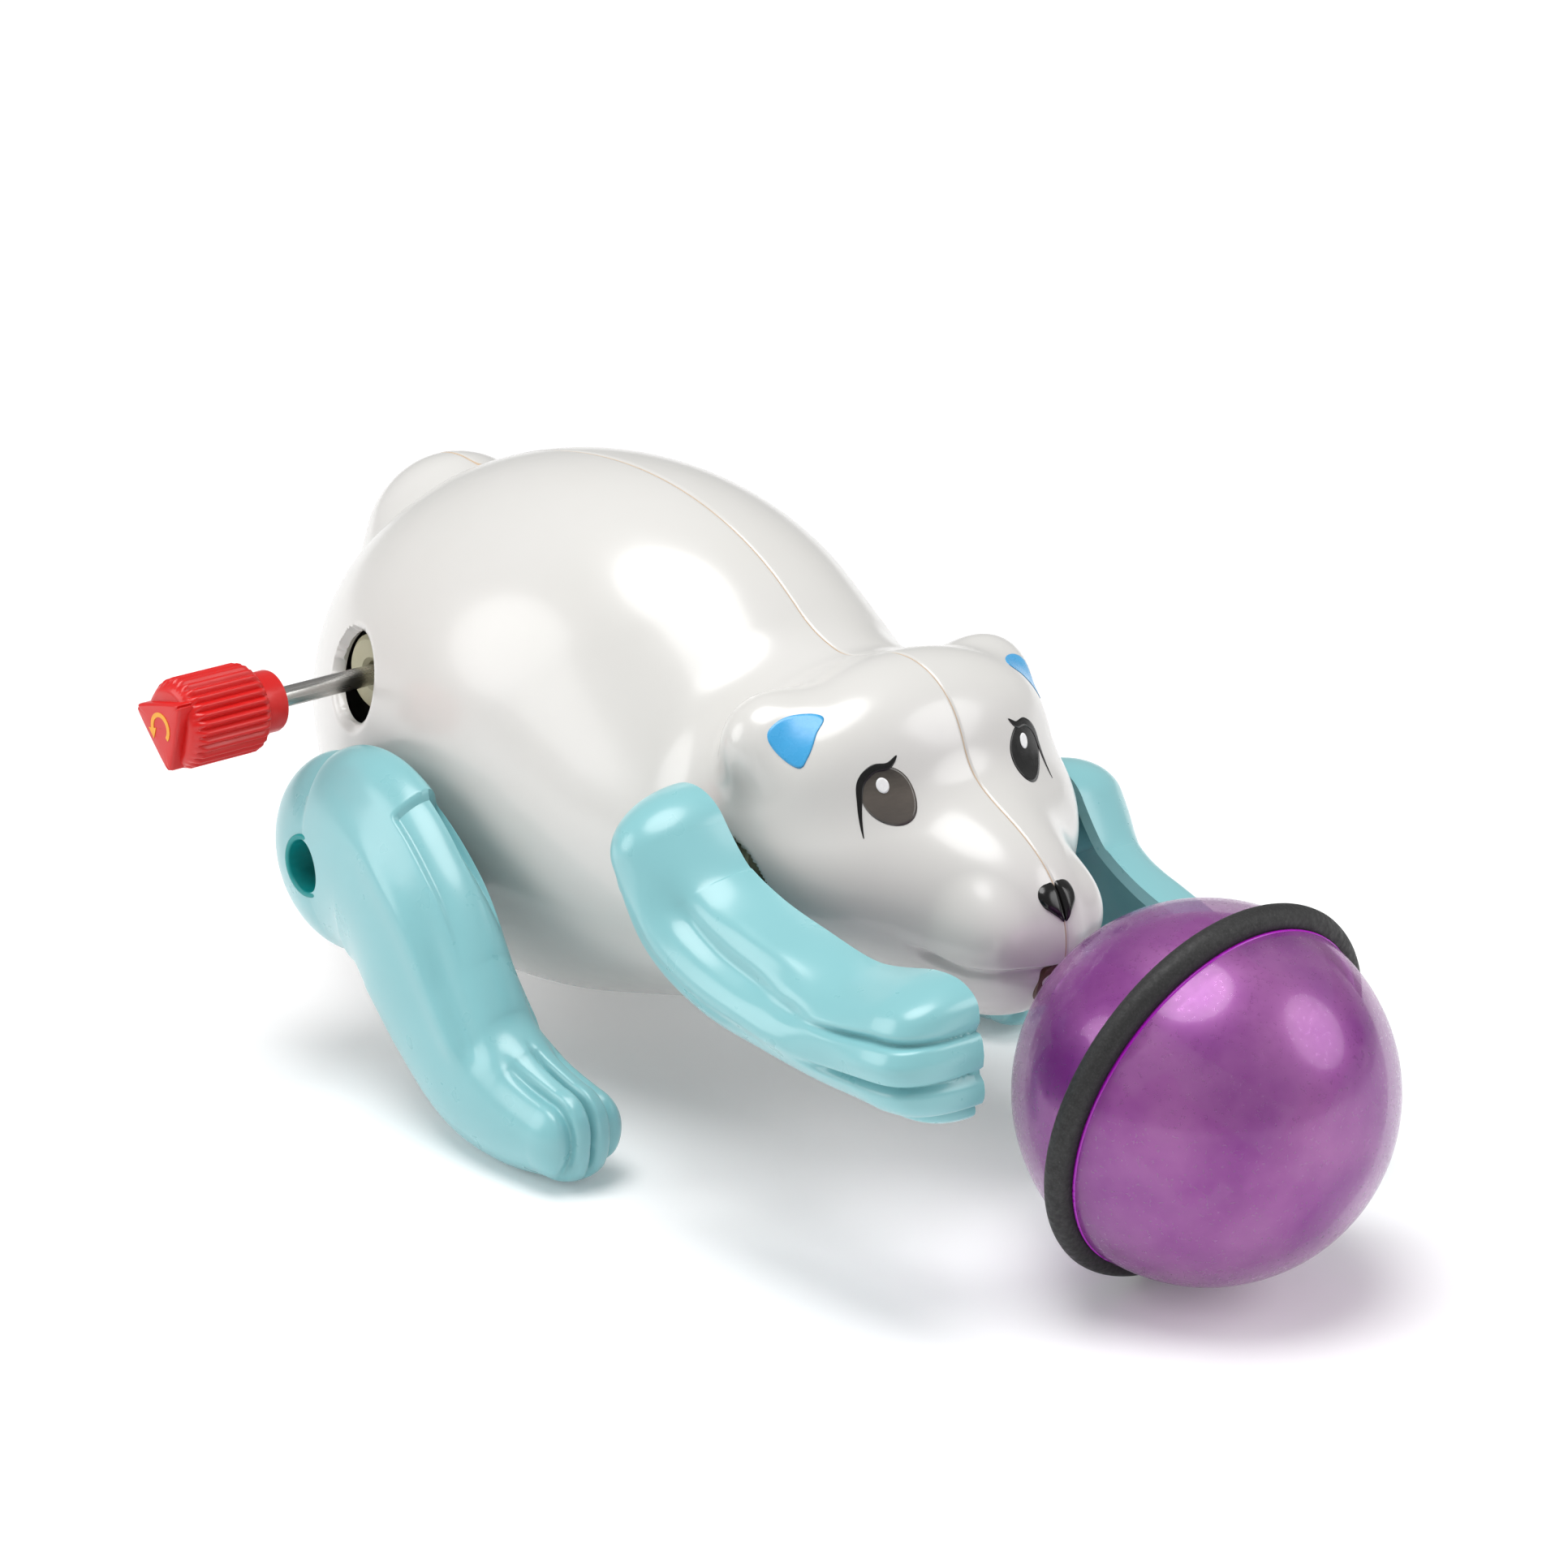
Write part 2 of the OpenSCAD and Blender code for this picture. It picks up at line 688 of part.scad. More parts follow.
// ---- Ball ----
module ball_pinion() {
    color("khaki")
        along_ball(crown_pitch_r - 0.9)
            difference() {
                linear_extrude(1.8)
                    polygon(gear_outline(pinion_teeth, train_module, 90 + 180 / pinion_teeth));
                translate([0, 0, -1])
                    cylinder(d = ball_shaft_d, h = 4);
            }
}

hub_l = 7;
module ball_shaft() {
    color("silver")
        along_ball(crown_pitch_r - 1)
            cylinder(d = ball_shaft_d, h = mouth_l + mouth_gap + hub_l - crown_pitch_r);
}

module shaft_bearing() {
    color("ivory")
        along_ball(bearing_l)
            difference() {
                translate([-bearing_size / 2, -bearing_size / 2, 0])
                    cube([bearing_size, bearing_size, bearing_w]);
                translate([0, 0, -1])
                    cylinder(d = ball_shaft_d + 2 * run_clear, h = 5);
            }
}

module mouth_bush() {
    color("saddlebrown")
        along_ball(mouth_l - 3.8)
            difference() {
                cylinder(r = bush_r, h = 3.6);
                translate([0, 0, -1])
                    cylinder(d = ball_shaft_d + 2 * run_clear, h = 6);
            }
}

module ball_half(side) {
    difference() {
        along_ball(ball_l)
            difference() {
                sphere(r = ball_r, $fn = 64);
                sphere(r = ball_r - ball_wall, $fn = 64);
                translate([-30, -30, side > 0 ? -60 : 0])
                    cube(60);
            }
        // Groove for the rubber ring
        along_ball(ball_l)
            rotate_extrude($fn = 64)
                translate([ring_pitch_r, 0])
                    circle(r = ring_r, $fn = 32);
    }
}

peg_circle_r = 9.5;
ball_peg_r = 2;
ball_pin_r = 1.15;
ball_pin_l = 3;
module ball_rear_shell() {
    color("purple", 0.5)
        difference() {
            union() {
                ball_half(-1);
                // Sockets for the pegs of the front half
                for (a = [30, 150, 270]) {
                    along_ball(ball_l)
                        rotate(a)
                            translate([peg_circle_r, 0, -socket_l])
                                difference() {
                                    cylinder(r = ball_peg_r, h = socket_l);
                                    translate([0, 0, socket_l - ball_pin_l - 0.5])
                                        cylinder(r = ball_pin_r + 0.05, h = socket_l);
                                }
                }
            }
            along_ball(ball_l - ball_r - 1)
                cylinder(r = 3, h = 5);
        }
}

// Depth from the joint of the ball to its inner wall at the pegs
socket_l = sqrt(pow(ball_r - ball_wall / 2, 2) - pow(peg_circle_r + ball_peg_r, 2));
module ball_front_shell() {
    color("purple", 0.5) {
        ball_half(1);
        for (a = [30, 150, 270]) {
            along_ball(ball_l)
                rotate(a)
                    translate([peg_circle_r, 0, 0])
                        union() {
                            cylinder(r = ball_peg_r, h = socket_l);
                            translate([0, 0, -ball_pin_l])
                                cylinder(r = ball_pin_r, h = ball_pin_l + 0.5);
                        }
        }
    }
}

// Hub in the back of the ball that grips the shaft
// Flange that bears on the inside of the rear half
flange_r = 4.4;
flange_at = ball_r - sqrt(pow(ball_r - ball_wall, 2) - flange_r * flange_r) + 0.05;
module ball_hub() {
    color("mediumorchid")
        along_ball(ball_l - ball_r)
            difference() {
                union() {
                    cylinder(r = 3, h = hub_l);
                    translate([0, 0, flange_at])
                        cylinder(r = flange_r, h = 1.2);
                }
                translate([0, 0, -1])
                    cylinder(d = ball_shaft_d, h = hub_l);
            }
}

module ball_ring() {
    color("black")
        along_ball(ball_l)
            rotate_extrude($fn = 64)
                translate([ring_pitch_r, 0])
                    circle(r = ring_r, $fn = 32);
}

// ---- Limbs ----
// Value of a smooth curve through the rows of a table at t, counted in rows
function curve(rows, t) =
    let (n = len(rows) - 1, i = min(floor(t), n - 1), f = t - i)
    let (p0 = rows[max(i - 1, 0)], p1 = rows[i], p2 = rows[i + 1], p3 = rows[min(i + 2, n)])
    p1 + 0.5 * f * (p2 - p0 + f * (2 * p0 - 5 * p1 + 4 * p2 - p3 + f * (3 * (p1 - p2) + p3 - p0)));

cap_steps = 4;
limb_steps = 14;
limb_cols = 9;
// Stations of a limb: [row of its table, share of its width, shift along its line in half widths]
function stations(rows) = concat(
    [for (i = [0:cap_steps - 1]) let (a = 90 * i / cap_steps) [0, sin(a), -cos(a)]],
    [for (i = [0:limb_steps]) [(len(rows) - 1) * i / limb_steps, 1, 0]],
    [for (i = [cap_steps - 1:-1:0]) let (a = 90 * i / cap_steps) [len(rows) - 1, sin(a), cos(a)]]);

// Dome of points over the limb: rows are [x, y, z, half height, depth], side is -1 for the outside
function limb_dome(rows, depth_in, side) = [for (s = stations(rows))
    let (r = curve(rows, s[0]), q = curve(rows, min(s[0] + 0.05, len(rows) - 1)), p = curve(rows, max(s[0] - 0.05, 0)))
    let (run = [q[0] - p[0], q[2] - p[2]], u = run / norm(run), w = r[3] - depth_in, d = r[4] - depth_in)
    [for (j = [0:limb_cols]) let (b = 90 - 180 * j / limb_cols)
        [r[0] + u.x * s[2] * w - u.y * w * s[1] * sin(b),
         r[1] + side * d * s[1] * cos(b),
         r[2] + u.y * s[2] * w + u.x * w * s[1] * sin(b)]]];

// Right arm: a deep open shell with a boss on the crank pin
module arm(at, pitch) {
    rows = [for (r = arm_line) [r[0], -arm_rim, r[1], r[2], arm_depth]];
    translate([at.x, 0, at.y])
        rotate([0, pitch, 0])
            difference() {
                union() {
                    dome_shell(limb_dome(rows, 0, -1), limb_dome(rows, limb_wall, -1));
                    rod([0, 0], crank_pin_r + 1.3, -arm_rim - arm_depth + limb_wall + 0.4, -arm_rim);
                }
                rod([0, 0], crank_pin_r + run_clear, -arm_rim - 4.6, -arm_rim + 1);
            }
}

module arm_right() {
    color("turquoise")
        arm(pin_right, 0);
}

module arm_left() {
    color("turquoise")
        mirror([0, 1, 0])
            arm(pin_left, left_arm_pitch);
}

module floor_cut() {
    difference() {
        children();
        translate([-60, -60, -20])
            cube([120, 120, 20]);
    }
}

access_y = peg_end + 0.1;
// Outer half of the right leg, with the round hip and its hole
module leg_outer() {
    rows = [for (r = leg_line) [r[0], -r[1], r[2], r[3], r[4]]];
    floor_cut()
        difference() {
            union() {
                dome_shell(limb_dome(rows, 0, -1), limb_dome(rows, limb_wall, -1));
                rod(hip_at, hip_hole_r + 1.2, -hip_seam_y - 6.3, -hip_seam_y);
            }
            rod(hip_at, peg_r + run_clear, -hip_seam_y - 20, -hip_seam_y + 1);
            rod(hip_at, hip_hole_r, -hip_seam_y - 20, -access_y);
        }
}

// Inner half of the right leg, against the body
module leg_inner() {
    rows = [for (r = leg_line) [r[0], -r[1], r[2], r[3], r[5]]];
    floor_cut()
        difference() {
            dome_shell(limb_dome(rows, 0, 1), limb_dome(rows, limb_wall, 1));
            rod(hip_at, peg_r + run_clear, -hip_seam_y - 2, -hip_inner_y + 3);
        }
}

module leg_right_outer() {
    color("turquoise")
        leg_outer();
}

module leg_right_inner() {
    color("turquoise")
        leg_inner();
}

module leg_left_outer() {
    color("turquoise")
        mirror([0, 1, 0])
            leg_outer();
}

module leg_left_inner() {
    color("turquoise")
        mirror([0, 1, 0])
            leg_inner();
}

module hip_screws() {
    color("silver")
        for (side = [0, 1]) {
            mirror([0, side, 0]) {
                difference() {
                    rod(hip_at, hip_hole_r - 0.3, -access_y - 1.3, -access_y);
                    translate([hip_at.x - 1.6, -access_y - 2, hip_at.y - 0.3])
                        cube([3.2, 1.2, 0.6]);
                    translate([hip_at.x - 0.3, -access_y - 2, hip_at.y - 1.6])
                        cube([0.6, 1.2, 3.2]);
                }
                rod(hip_at, 0.7, -access_y, -peg_end + 4.5);
            }
        }
}

shell_right();
shell_left();
shell_screws();
motor_plate_right();
motor_plate_left();
plate_pillars();
plate_screws();
winding_shaft();
winding_knob();
mainspring();
great_wheel();
ratchet_wheel();
click();
click_rivet();
second_wheel();
second_axle();
third_wheel();
third_axle();
idler_gear();
idler_axle();
escape_wheel();
escape_axle();
pallet();
pallet_axle();
crank_axle();
crank_gear();
crown_wheel();
crank_right();
crank_left();
ball_pinion();
ball_shaft();
shaft_bearing();
mouth_bush();
ball_hub();
ball_rear_shell();
ball_front_shell();
ball_ring();
arm_right();
arm_left();
leg_right_outer();
leg_right_inner();
leg_left_outer();
leg_left_inner();
hip_screws();
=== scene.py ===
"""Wind-up polar bear that spins a ball: the visual model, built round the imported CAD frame.

Lengths are in millimetres until mesh_piece() turns them into metres.
+X is forward, +Y is the bear's left, +Z is up, and the floor is at z = 0.
"""
import json
import math

import bmesh
import bpy
import numpy as np
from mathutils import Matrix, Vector


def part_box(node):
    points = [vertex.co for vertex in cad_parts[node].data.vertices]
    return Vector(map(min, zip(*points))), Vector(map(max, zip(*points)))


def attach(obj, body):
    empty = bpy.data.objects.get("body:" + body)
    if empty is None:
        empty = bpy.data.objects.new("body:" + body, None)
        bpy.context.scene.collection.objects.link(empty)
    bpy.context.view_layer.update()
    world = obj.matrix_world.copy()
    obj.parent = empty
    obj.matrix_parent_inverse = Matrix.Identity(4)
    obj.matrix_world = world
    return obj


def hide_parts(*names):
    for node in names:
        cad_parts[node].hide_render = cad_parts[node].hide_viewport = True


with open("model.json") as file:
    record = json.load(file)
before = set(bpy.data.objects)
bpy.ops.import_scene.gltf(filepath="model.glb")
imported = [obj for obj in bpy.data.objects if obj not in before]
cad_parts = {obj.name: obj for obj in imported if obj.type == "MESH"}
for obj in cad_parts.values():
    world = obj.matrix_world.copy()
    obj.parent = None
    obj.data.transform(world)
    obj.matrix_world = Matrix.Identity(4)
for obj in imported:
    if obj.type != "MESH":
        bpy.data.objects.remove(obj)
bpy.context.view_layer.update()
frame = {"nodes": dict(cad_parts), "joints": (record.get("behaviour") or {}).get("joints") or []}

MM = 0.001
SIDES = (("right", -1), ("left", 1))
NODES = frame["nodes"]
JOINTS = {j["name"]: j for j in frame["joints"]}


# ---- Places from the frame ----
def node_box(node):
    """Lowest and highest corner of a CAD node in millimetres."""
    lo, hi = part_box(node)
    return np.array(lo) / MM, np.array(hi) / MM


def joint_at(name):
    """Where a joint sits, in millimetres."""
    return np.array(JOINTS[name]["pos_m"]) / MM


ARBOR = joint_at("winding_turn")
CRANK = joint_at("crank_turn")
PINS = {"right": joint_at("arm_right_pin"), "left": joint_at("arm_left_pin")}
HIP = joint_at("hip_right")
HIP_SEAM = abs(HIP[1])
BALL_AXIS = np.array(JOINTS["ball_spin"]["axis"], float)
RING_LO, RING_HI = node_box("ball_ring")
BALL_AT = (RING_LO + RING_HI) / 2
BALL_R = node_box("ball_rear_shell")[1][1]
RING_R = RING_HI[1] - BALL_R - 0.4
ARM_RIM = -node_box("arm_right")[1][1]
ARM_DEPTH = -node_box("arm_right")[0][1] - ARM_RIM
KNOB_LO, KNOB_HI = node_box("winding_knob")


# ---- Mesh helpers ----
def mesh_piece(name, points, faces, body, material, replaced=(), smooth=True):
    """A mesh from points in millimetres, riding on a CAD body."""
    mesh = bpy.data.meshes.new(name)
    mesh.from_pydata((np.asarray(points, float) * MM).tolist(), [], [list(f) for f in faces])
    mesh.validate()
    piece = bpy.data.objects.new(name, mesh)
    bpy.context.scene.collection.objects.link(piece)
    mesh.materials.append(material)
    tidy(piece)
    mesh.polygons.foreach_set("use_smooth", [smooth] * len(mesh.polygons))
    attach(piece, body)
    if replaced:
        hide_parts(*replaced)
    return piece


def tidy(piece):
    """Joins doubled points and turns all faces outward."""
    work = bmesh.new()
    work.from_mesh(piece.data)
    bmesh.ops.remove_doubles(work, verts=work.verts, dist=1e-7)
    bmesh.ops.dissolve_degenerate(work, edges=work.edges, dist=1e-8)
    bmesh.ops.recalc_face_normals(work, faces=work.faces)
    work.to_mesh(piece.data)
    work.free()


def sharpen(piece, degrees):
    """Smooth shading that breaks at edges sharper than this."""
    bpy.context.view_layer.objects.active = piece
    piece.select_set(True)
    bpy.ops.object.shade_smooth_by_angle(angle=math.radians(degrees))
    piece.select_set(False)


def grid_faces(rows, cols, start=0, flip=False, wrap=False):
    """Quads of a grid of rows x cols points."""
    across = cols if wrap else cols - 1
    faces = []
    for i in range(rows - 1):
        for j in range(across):
            a, b = start + i * cols + j, start + i * cols + (j + 1) % cols
            quad = (a, a + cols, b + cols, b)
            faces.append(quad[::-1] if flip else quad)
    return faces


def double_skin(outer, inner):
    """Points and faces of a closed shell between two grids with the same rows and columns."""
    rows, cols = outer.shape[:2]
    points = np.concatenate([outer.reshape(-1, 3), inner.reshape(-1, 3)])
    half = rows * cols
    faces = grid_faces(rows, cols) + grid_faces(rows, cols, half, True)
    for j in (0, cols - 1):
        for i in range(rows - 1):
            a, b = i * cols + j, (i + 1) * cols + j
            faces.append((a, b, b + half, a + half))
    return points, faces


def cut(piece, cutters):
    """Takes solids away from a piece, which keeps its own material."""
    for cutter in cutters:
        bool_mod = piece.modifiers.new("cut", "BOOLEAN")
        bool_mod.operation = "DIFFERENCE"
        bool_mod.solver = "EXACT"
        bool_mod.object = cutter
    bake(piece)
    for cutter in cutters:
        bpy.data.objects.remove(cutter)


def bake(piece):
    """Applies the modifiers of a piece."""
    shaped = bpy.data.meshes.new_from_object(piece.evaluated_get(bpy.context.evaluated_depsgraph_get()))
    piece.modifiers.clear()
    piece.data = shaped


def rod_cutter(x, z, radius, y0, y1, sides=96):
    """A plain cylinder along Y, used only to cut with."""
    mesh = bpy.data.meshes.new("cutter")
    work = bmesh.new()
    bmesh.ops.create_cone(work, cap_ends=True, segments=sides, radius1=radius * MM, radius2=radius * MM,
                          depth=abs(y1 - y0) * MM)
    bmesh.ops.rotate(work, verts=work.verts, matrix=Vector((0, 1, 0)).to_track_quat("Z", "Y").to_matrix())
    bmesh.ops.translate(work, verts=work.verts, vec=(x * MM, (y0 + y1) / 2 * MM, z * MM))
    work.to_mesh(mesh)
    work.free()
    cutter = bpy.data.objects.new("cutter", mesh)
    bpy.context.scene.collection.objects.link(cutter)
    cutter.hide_render = True
    return cutter


def lathe(profile, at, axis, side=(0, 1, 0), turns=72):
    """Points and faces of a profile [(radius, distance along the axis)] turned round an axis."""
    axis = np.array(axis, float) / np.linalg.norm(axis)
    u = np.cross(axis, np.array(side, float))
    if np.linalg.norm(u) < 0.1:
        u = np.cross(axis, np.array([1.0, 0, 0]))
    u /= np.linalg.norm(u)
    v = np.cross(axis, u)
    angles = np.linspace(0, 2 * math.pi, turns, endpoint=False)
    ring = np.cos(angles)[:, None] * u + np.sin(angles)[:, None] * v
    points = [np.array(at) + l * axis + r * ring for r, l in profile]
    return np.concatenate(points), grid_faces(len(profile), turns, wrap=True)


def rounded(profile, radius, steps=5):
    """A profile with its inner corners rounded by short arcs."""
    out = [profile[0]]
    for before, corner, after in zip(profile, profile[1:], profile[2:]):
        p, c, q = np.array(before, float), np.array(corner, float), np.array(after, float)
        reach = min(radius, np.linalg.norm(p - c) * 0.45, np.linalg.norm(q - c) * 0.45)
        a = c + (p - c) / max(np.linalg.norm(p - c), 1e-9) * reach
        b = c + (q - c) / max(np.linalg.norm(q - c), 1e-9) * reach
        for k in range(steps + 1):
            t = k / steps
            out.append(tuple((1 - t) ** 2 * a + 2 * t * (1 - t) * c + t ** 2 * b))
    return out + [profile[-1]]


# ---- Materials ----
def principled(name, colour, rough, **sockets):
    """A new material and its shader, with plain values on the shader's own sockets."""
    material = bpy.data.materials.new(name)
    material.use_nodes = True
    shader = material.node_tree.nodes["Principled BSDF"]
    shader.inputs["Base Color"].default_value = (*colour, 1)
    shader.inputs["Roughness"].default_value = rough
    for socket, value in sockets.items():
        shader.inputs[socket.replace("_", " ")].default_value = value
    return material, shader


def noise(material, scale, detail=3.0, stretch=(1, 1, 1)):
    """Noise in object space, scale in waves per metre."""
    tree = material.node_tree
    place = tree.nodes.new("ShaderNodeTexCoord")
    mapping = tree.nodes.new("ShaderNodeMapping")
    mapping.inputs["Scale"].default_value = stretch
    texture = tree.nodes.new("ShaderNodeTexNoise")
    texture.inputs["Scale"].default_value = scale
    texture.inputs["Detail"].default_value = detail
    tree.links.new(place.outputs["Object"], mapping.inputs["Vector"])
    tree.links.new(mapping.outputs["Vector"], texture.inputs["Vector"])
    return texture.outputs["Fac"]


def ramp(material, factor, stops):
    """A colour ramp with stops [(place, (r, g, b))] driven by a factor."""
    tree = material.node_tree
    node = tree.nodes.new("ShaderNodeValToRGB")
    band = node.color_ramp
    while len(band.elements) < len(stops):
        band.elements.new(0.5)
    for element, (place, colour) in zip(band.elements, stops):
        element.position = place
        element.color = (*colour, 1)
    tree.links.new(factor, node.inputs["Fac"])
    return node.outputs["Color"]


def spread(material, factor, low, high):
    """Maps a 0..1 factor to low..high."""
    tree = material.node_tree
    node = tree.nodes.new("ShaderNodeMapRange")
    node.inputs["From Min"].default_value = 0.3
    node.inputs["From Max"].default_value = 0.7
    node.inputs["To Min"].default_value = low
    node.inputs["To Max"].default_value = high
    tree.links.new(factor, node.inputs["Value"])
    return node.outputs["Result"]


def bump(material, shader, height, strength, distance):
    """Fine relief on the shader, distance in millimetres."""
    tree = material.node_tree
    node = tree.nodes.new("ShaderNodeBump")
    node.inputs["Strength"].default_value = strength
    node.inputs["Distance"].default_value = distance * MM
    tree.links.new(height, node.inputs["Height"])
    tree.links.new(node.outputs["Normal"], shader.inputs["Normal"])


def moulded(name, colour, shade, rough=(0.2, 0.3), waves=60, **sockets):
    """Glossy moulded plastic: faint flow marks in the colour, the gloss and the surface."""
    material, shader = principled(name, colour, sum(rough) / 2, **sockets)
    link = material.node_tree.links.new
    link(ramp(material, noise(material, waves), [(0.3, shade), (0.7, colour)]), shader.inputs["Base Color"])
    link(spread(material, noise(material, waves * 6), *rough), shader.inputs["Roughness"])
    bump(material, shader, noise(material, waves * 3, 1.0), 0.12, 0.05)
    return material


def brushed(name, colour, rough, along=(1, 1, 1)):
    """Drawn or brushed metal with fine streaks along one direction."""
    material, shader = principled(name, colour, rough, Metallic=1.0)
    streaks = noise(material, 2500, 2.0, along)
    link = material.node_tree.links.new
    dark = [c * 0.82 for c in colour]
    link(ramp(material, streaks, [(0.3, dark), (0.7, colour)]), shader.inputs["Base Color"])
    link(spread(material, streaks, rough * 0.8, rough * 1.3), shader.inputs["Roughness"])
    bump(material, shader, streaks, 0.15, 0.01)
    return material


WHITE = moulded("white_plastic", (0.63, 0.62, 0.6), (0.615, 0.605, 0.58), (0.22, 0.27),
                Coat_Weight=0.3, Coat_Roughness=0.12)
TURQUOISE = moulded("turquoise_plastic", (0.235, 0.51, 0.54), (0.22, 0.485, 0.515), (0.27, 0.31),
                    Coat_Weight=0.25, Coat_Roughness=0.15)
# Dark teal for the tube of the hip hole: the legs' turquoise darkened as painted shade inside the hole
HOLE_SHADE_TEAL = moulded("hip_hole_painted_shade", (0.0, 0.27, 0.27), (0.0, 0.24, 0.24), (0.4, 0.5))
RED = moulded("red_plastic", (0.68, 0.005, 0.004), (0.6, 0.004, 0.003), (0.3, 0.42), Coat_Weight=0.1)
YELLOW = moulded("yellow_mark", (0.85, 0.42, 0.02), (0.8, 0.36, 0.02), (0.4, 0.5))
OLIVE = moulded("olive_frame", (0.42, 0.4, 0.27), (0.38, 0.36, 0.24), (0.4, 0.5))
ACETAL = moulded("natural_acetal", (0.72, 0.69, 0.6), (0.68, 0.65, 0.55), (0.35, 0.45))
# Dark brown for the mouth bush: painted shadow of the open mouth round the ball's shaft
MOUTH_SHADOW_BROWN = moulded("mouth_bush_painted_shadow", (0.11, 0.045, 0.03), (0.08, 0.035, 0.025), (0.4, 0.5))
MAGENTA = moulded("magenta_plastic", (0.42, 0.0, 0.5), (0.36, 0.0, 0.44), (0.2, 0.3))
STEEL = brushed("drawn_steel", (0.56, 0.55, 0.53), 0.24, (1, 0.02, 1))
SPRING = brushed("blued_steel", (0.2, 0.22, 0.27), 0.3, (1, 0.02, 1))
EAR_BLUE = moulded("ear_paint", (0.06, 0.37, 0.68), (0.05, 0.33, 0.64), (0.22, 0.32), 200)
BLACK = moulded("black_paint", (0.006, 0.006, 0.006), (0.004, 0.004, 0.004), (0.15, 0.25), 200)
TAN = moulded("seam_tan", (0.62, 0.47, 0.33), (0.55, 0.42, 0.3), (0.5, 0.6), 900)
PRINT_WHITE = moulded("white_print", (0.85, 0.85, 0.85), (0.8, 0.8, 0.8), (0.2, 0.3), 300)


# ---- The bear's body: ellipsoids that melt into each other, as in the CAD ----
# name: (x, z), (half length, half width, half height), pitch in degrees
TORSO = ((7.9, 30.8), (36, 23, 26.4), 8)
CHEST = ((29.2, 27.5), (26.4, 20.5, 17), 1.5)
HEAD = ((49.7, 33), (16, 18.5, 10), -32)
FACE = ((50.5, 39), (8.4, 15.9, 8.8), -9)
MUZZLE = ((61, 26.8), (11.1, 8.5, 9.5), -12)
TAIL = ((-14.3, 42.4), (9.8, 9.5, 10.5), 0)
WHISKER_PAD = ((65.2, 27.2), (5.6, 3.9, 4.6), -12)
WALL = 1.25
KEY_HOLE_R = 4.3
SHOULDER_R = 5.8


def melt(a, b, k):
    """The union of two fields, with a soft join k wide."""
    h = np.clip(0.5 + 0.5 * (b - a) / k, 0, 1)
    return b * (1 - h) + a * h - k * h * (1 - h)


def blob(p, shape, y=0.0):
    """Rough signed distance from points to an ellipsoid."""
    (x, z), radii, pitch = shape
    t = math.radians(pitch)
    dx, dy, dz = p[..., 0] - x, p[..., 1] - y, p[..., 2] - z
    q = np.stack([dx * math.cos(t) + dz * math.sin(t), dy, dz * math.cos(t) - dx * math.sin(t)], -1)
    u = q / np.array(radii)
    k = np.linalg.norm(u, axis=-1)
    return k * (k - 1) / np.maximum(np.linalg.norm(u / np.array(radii), axis=-1), 1e-6)


def bear(p):
    """The body without ears, on both sides."""
    p = np.asarray(p, float)
    d = melt(blob(p, TORSO), blob(p, CHEST), 6)
    d = melt(d, blob(p, HEAD), 5)
    d = melt(d, blob(p, FACE), 3)
    d = melt(d, blob(p, MUZZLE), 5)
    return melt(d, blob(p, TAIL), 1.5)


EAR_AT = np.array([47.3, 12.9, 41.7])
EAR_R = np.array([3.8, 4.7, 4.3])
EAR_FACE_X = 50.6
FACE_BACK_X = 48.5
LAY_FROM_X = 80.0


def ear(p):
    """One low ear: a bump that is flat in front, where it is painted."""
    side = np.abs(p[..., 1])
    q = np.stack([p[..., 0], side, p[..., 2]], -1) - EAR_AT
    u = q / EAR_R
    k = np.linalg.norm(u, axis=-1)
    bump_d = k * (k - 1) / np.maximum(np.linalg.norm(u / EAR_R, axis=-1), 1e-6)
    front = p[..., 0] - EAR_FACE_X + 0.12 * (p[..., 2] - EAR_AT[2])
    return -melt(-bump_d, -front, 0.9)


def mouth(p):
    """How deep the mouth's groove is: a smile line from the lips to the cheek."""
    side = np.abs(p[..., 1])
    x = p[..., 0]
    line = 24.1 + 1.4 * np.clip((67 - x) / 4.5, 0, 1.3) ** 1.5 + 0.02 * side
    across = (p[..., 2] - line) / np.where(p[..., 2] > line, 0.32, 0.75)
    along = np.clip((x - 61.9) / 2, 0, 1)
    return 0.7 * np.exp(-across ** 2) * along ** 2 * (3 - 2 * along)


def detailed(p):
    """The body with its ears, lips and the groove of the mouth."""
    p = np.asarray(p, float)
    d = melt(bear(p), ear(p), 3)
    folded = np.stack([p[..., 0], np.abs(p[..., 1]), p[..., 2]], -1)
    d = melt(d, blob(folded, WHISKER_PAD, 4.5), 1.2)
    return d + mouth(p) + crease(p)


def crease(p):
    """Soft fold round the tail."""
    return 0.35 * np.exp(-((blob(p, TAIL) - 0.6) / 0.5) ** 2) * (p[..., 0] < -4)


def fillet(p, x, z, radius, soft):
    """Depth that rounds the rim of a hole along Y."""
    rho = np.hypot(p[..., 0] - x, p[..., 2] - z)
    inside = np.clip(radius + soft - rho, 0, soft)
    return soft - np.sqrt(np.maximum(soft ** 2 - inside ** 2, 0))


SPINE_REAR = np.array([-9, 0, 32.0])
SPINE_FRONT = np.array([57, 0, 27.0])


def reach(start, direction, depth, field, first=12.0, rounds=26):
    """Distance along each direction to the skin, moved in by depth."""
    r = np.full(start.shape[:-1], first)
    for _ in range(rounds):
        p = start + r[..., None] * direction
        r = r - 0.85 * (field(p) + (depth(p) if callable(depth) else depth))
    return start + r[..., None] * direction


